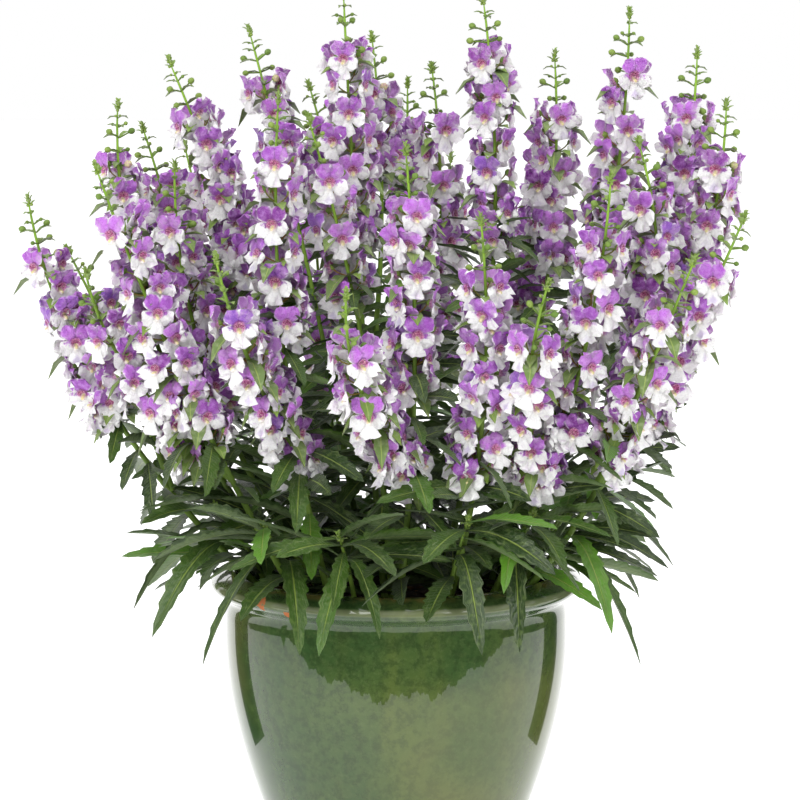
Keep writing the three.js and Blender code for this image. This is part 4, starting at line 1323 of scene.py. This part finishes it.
def bark_paint():
    """Dark peat, and chips from red-brown to grey-brown."""
    p = Paint("bark", Specular_IOR_Level=0.2)
    draw = p.attribute("draw", "Fac")
    crumb = p.noise(260, 5, None, 0.7)
    colour = p.mix(draw, tint(44, 32, 24), tint(108, 76, 52))
    colour = p.mix(crumb.step(0.4, 0.7) * 0.6, colour, tint(74, 54, 40))
    return p.finish(colour, 0.9, crumb, 0.9, 0.002)


BUD_BRACT = [5, 3.2]  # its length beside a bud of no size, and how much longer for each mm of the bud's radius
BLOOM_BRACT = [16, 10]  # its shortest length beside a floret, and how much longer it may be
BRACT_ASIDE = 0.9


def grow_plant():
    """Grows the plant, then makes two pieces of each flowering stem, its greens and its petals, and one of each
    shoot."""
    stems = grow_stems()
    room = Room()
    take_stems(room, stems)
    buds, blooms = grow_buds(room, stems), grow_blooms(room, stems)
    leaves = grow_leaves(room, stems)
    blooms += grow_fine_blooms(room, stems)
    buds += grow_fine_buds(room, stems)
    leaves += grow_fine_leaves(room, stems)
    greens = [stem_paint(), leaf_paint(), bud_paint(), bract_paint()]
    petals = petal_paint()
    forms = floret_forms()
    for plant in range(len(STEMS) + len(SHOOTS)):
        skin, flowers = Skin(), Skin()
        for number, stem in enumerate(stems):
            if stem.plant == plant:
                stem_skin(skin, stem)
                tuft_skin(skin, stem, number)
        for leaf in leaves:
            if leaf.plant == plant:
                leaf_skin(skin, leaf)
        for bud in buds:
            if bud.plant == plant:
                bud_skin(skin, bud)
                length = BUD_BRACT[0] + BUD_BRACT[1] * bud.radius
                bract_skin(skin, bud.point, bud.bract_reach, length, bud.draw)
        for bloom in blooms:
            if bloom.plant == plant:
                stalk_skin(skin, bloom)
                petals_skin(flowers, bloom, forms)
                side = BRACT_ASIDE if bloom.draw > 0.5 else -BRACT_ASIDE
                aside = reach_from(bloom.along, bloom.turn + side, -0.1)
                length = BLOOM_BRACT[0] + BLOOM_BRACT[1] * bloom.draw
                bract_skin(skin, bloom.point, aside, length, bloom.draw)
        if plant < len(STEMS):
            node = f"flower_stem_{plant + 1}"
            skin.piece(f"stem_and_leaves_{plant + 1}", greens, "leaves", node)
            flowers.piece(f"petals_{plant + 1}", [petals], "flowers", node)
        else:
            number = plant + 1 - len(STEMS)
            skin.piece(f"shoot_{number}", greens, "leaves", f"leafy_shoot_{number}")


# The camera: it looks at a point on the plant's axis from the front and a little above.
AIM = np.array([0.00268, 0.0, 0.333])
CAMERA_DISTANCE = 1.9
CAMERA_PITCH = math.radians(7.1)
PICTURE_WIDTH = 0.536  # metres across the picture at the aim
SENSOR = 36


def put_camera():
    data = bpy.data.cameras.new("camera")
    data.sensor_width = SENSOR
    data.lens = SENSOR * CAMERA_DISTANCE / PICTURE_WIDTH
    data.clip_end = 100
    camera = bpy.data.objects.new("camera", data)
    back = np.array([0, -math.cos(CAMERA_PITCH), math.sin(CAMERA_PITCH)])
    camera.location = AIM + CAMERA_DISTANCE * back
    camera.rotation_euler = (math.pi / 2 - CAMERA_PITCH, 0, 0)
    bpy.context.scene.collection.objects.link(camera)
    bpy.context.scene.camera = camera


# The soft lamps: where each is, the height of the point on the pot's axis that it faces, its size and its watts.
LAMPS = {
    "front_left": [(-1.4, -2.2, 1.9), 0.35, (1.6, 1.6), 37],
    "front_right": [(1.9, -2.2, 1.2), 0.35, (1.2, 1.4), 14],
    "top": [(0, -0.3, 2.6), 0.35, (1.8, 1.8), 12],
    "back_left": [(-1.1, 2.6, 1.3), 0.3, (1.8, 2.4), 12],
    "back_right": [(1.1, 2.6, 1.3), 0.3, (1.8, 2.4), 12],
}


def put_lamp(name, place, aim, size, watts):
    """A soft lamp that faces a point on the pot's axis."""
    data = bpy.data.lights.new(name, "AREA")
    data.shape, data.size, data.size_y, data.energy = "RECTANGLE", *size, watts
    lamp = bpy.data.objects.new(name, data)
    lamp.location = place
    direction = unit(np.array(place, float) - aim * UP)
    lamp.rotation_euler = (math.acos(direction[2]), 0, math.atan2(direction[1], direction[0]) + math.pi / 2)
    lamp.visible_camera = False
    bpy.context.scene.collection.objects.link(lamp)


def stage_mesh(name, grid, paint):
    """A part of the studio: a grid of points as a sheet."""
    rows, columns = grid.shape[:2]
    index = np.arange(rows * columns).reshape(rows, columns)
    faces = np.stack([index[:-1, :-1], index[:-1, 1:], index[1:, 1:], index[1:, :-1]], -1).reshape(-1, 4)
    mesh = bpy.data.meshes.new(name)
    mesh.from_pydata(grid.reshape(-1, 3).tolist(), [], faces.tolist())
    mesh.materials.append(paint)
    part = bpy.data.objects.new(name, mesh)
    bpy.context.scene.collection.objects.link(part)
    return part


# Dark boards that only shiny surfaces mirror. The wide one stands round the front of the pot on a ragged foot: how
# far in front it is, its greatest distance, its height, the bearing of its ends, and the sizes, lengths and starts
# of the waves that make the foot ragged.
WIDE_BOARD = [0.47, 1.7, 0.32, 126]
BOARD_WAVES = [[0.03, 0.31, 0.4], [0.02, 0.13, 2.1], [0.014, 0.057, 4.0], [0.009, 0.026, 1.2], [0.006, 0.0117, 3.3]]
SIDE_BOARDS = {"left_board": [(-0.295, 0.035), (-0.259, 0.115)], "right_board": [(0.259, 0.115), (0.295, 0.035)]}
SIDE_BOARD_HEIGHT = 0.3
BOARD_FOOT = 0.001
BOARD_LEAN = 0.05
BOARD_STEPS = 900
FLOOR_SIZE = 20
ROOM_LIGHT = 0.78


def put_studio():
    """A white floor in a white room, dark boards, a big soft lamp at the front left and smaller ones round."""
    world = bpy.data.worlds.new("white_room")
    world.use_nodes = True
    background = world.node_tree.nodes["Background"]
    seen = world.node_tree.nodes.new("ShaderNodeLightPath")
    strength = world.node_tree.nodes.new("ShaderNodeMapRange")
    strength.inputs["To Min"].default_value = ROOM_LIGHT
    world.node_tree.links.new(seen.outputs["Is Camera Ray"], strength.inputs["Value"])
    world.node_tree.links.new(strength.outputs[0], background.inputs["Strength"])
    background.inputs["Color"].default_value = (1, 1, 1, 1)
    bpy.context.scene.world = world
    paint = Paint("white_floor", Roughness=0.6, Emission_Strength=0.42)
    paint.shader.inputs["Emission Color"].default_value = (1, 1, 1, 1)
    grain = paint.noise(8, 2)
    white = paint.finish(paint.mix(grain * 0.1, (0.95, 0.95, 0.95, 1), (0.85, 0.85, 0.85, 1)))
    s = FLOOR_SIZE
    stage_mesh("floor", np.array([[(-s, -s, 0), (s, -s, 0)], [(-s, s, 0), (s, s, 0)]]), white)
    felt = Paint("dark_felt", Roughness=0.9, Specular_IOR_Level=0.0)
    dark = felt.finish(felt.mix(felt.noise(4, 2) * 0.4, (0.01, 0.012, 0.01, 1), (0.02, 0.03, 0.015, 1)))
    near, far, high, end = WIDE_BOARD
    bearing = np.radians(np.linspace(-end, end, BOARD_STEPS))
    out = near / np.maximum(np.cos(bearing), near / far)
    wave = sum(size * np.sin(2 * np.pi * bearing * near / pitch + start) for size, pitch, start in BOARD_WAVES)
    radii = np.stack([out + wave * out / near, out - BOARD_LEAN])
    heights = np.array([[BOARD_FOOT], [high]])
    sheet = np.stack(np.broadcast_arrays(radii * np.sin(bearing), -radii * np.cos(bearing), heights), -1)
    boards = [stage_mesh("wide_board", sheet, dark)]
    for name, (first, second) in SIDE_BOARDS.items():
        corners = [[(*first, h), (*second, h)] for h in (BOARD_FOOT, SIDE_BOARD_HEIGHT)]
        boards.append(stage_mesh(name, np.array(corners), dark))
    for board in boards:
        board.visible_camera = board.visible_diffuse = board.visible_shadow = board.visible_transmission = False
    for name, lamp in LAMPS.items():
        put_lamp(name, *lamp)
    bpy.context.scene.view_settings.view_transform = "Standard"


put_camera()
put_studio()
pot_piece()
mix_piece()
grow_plant()
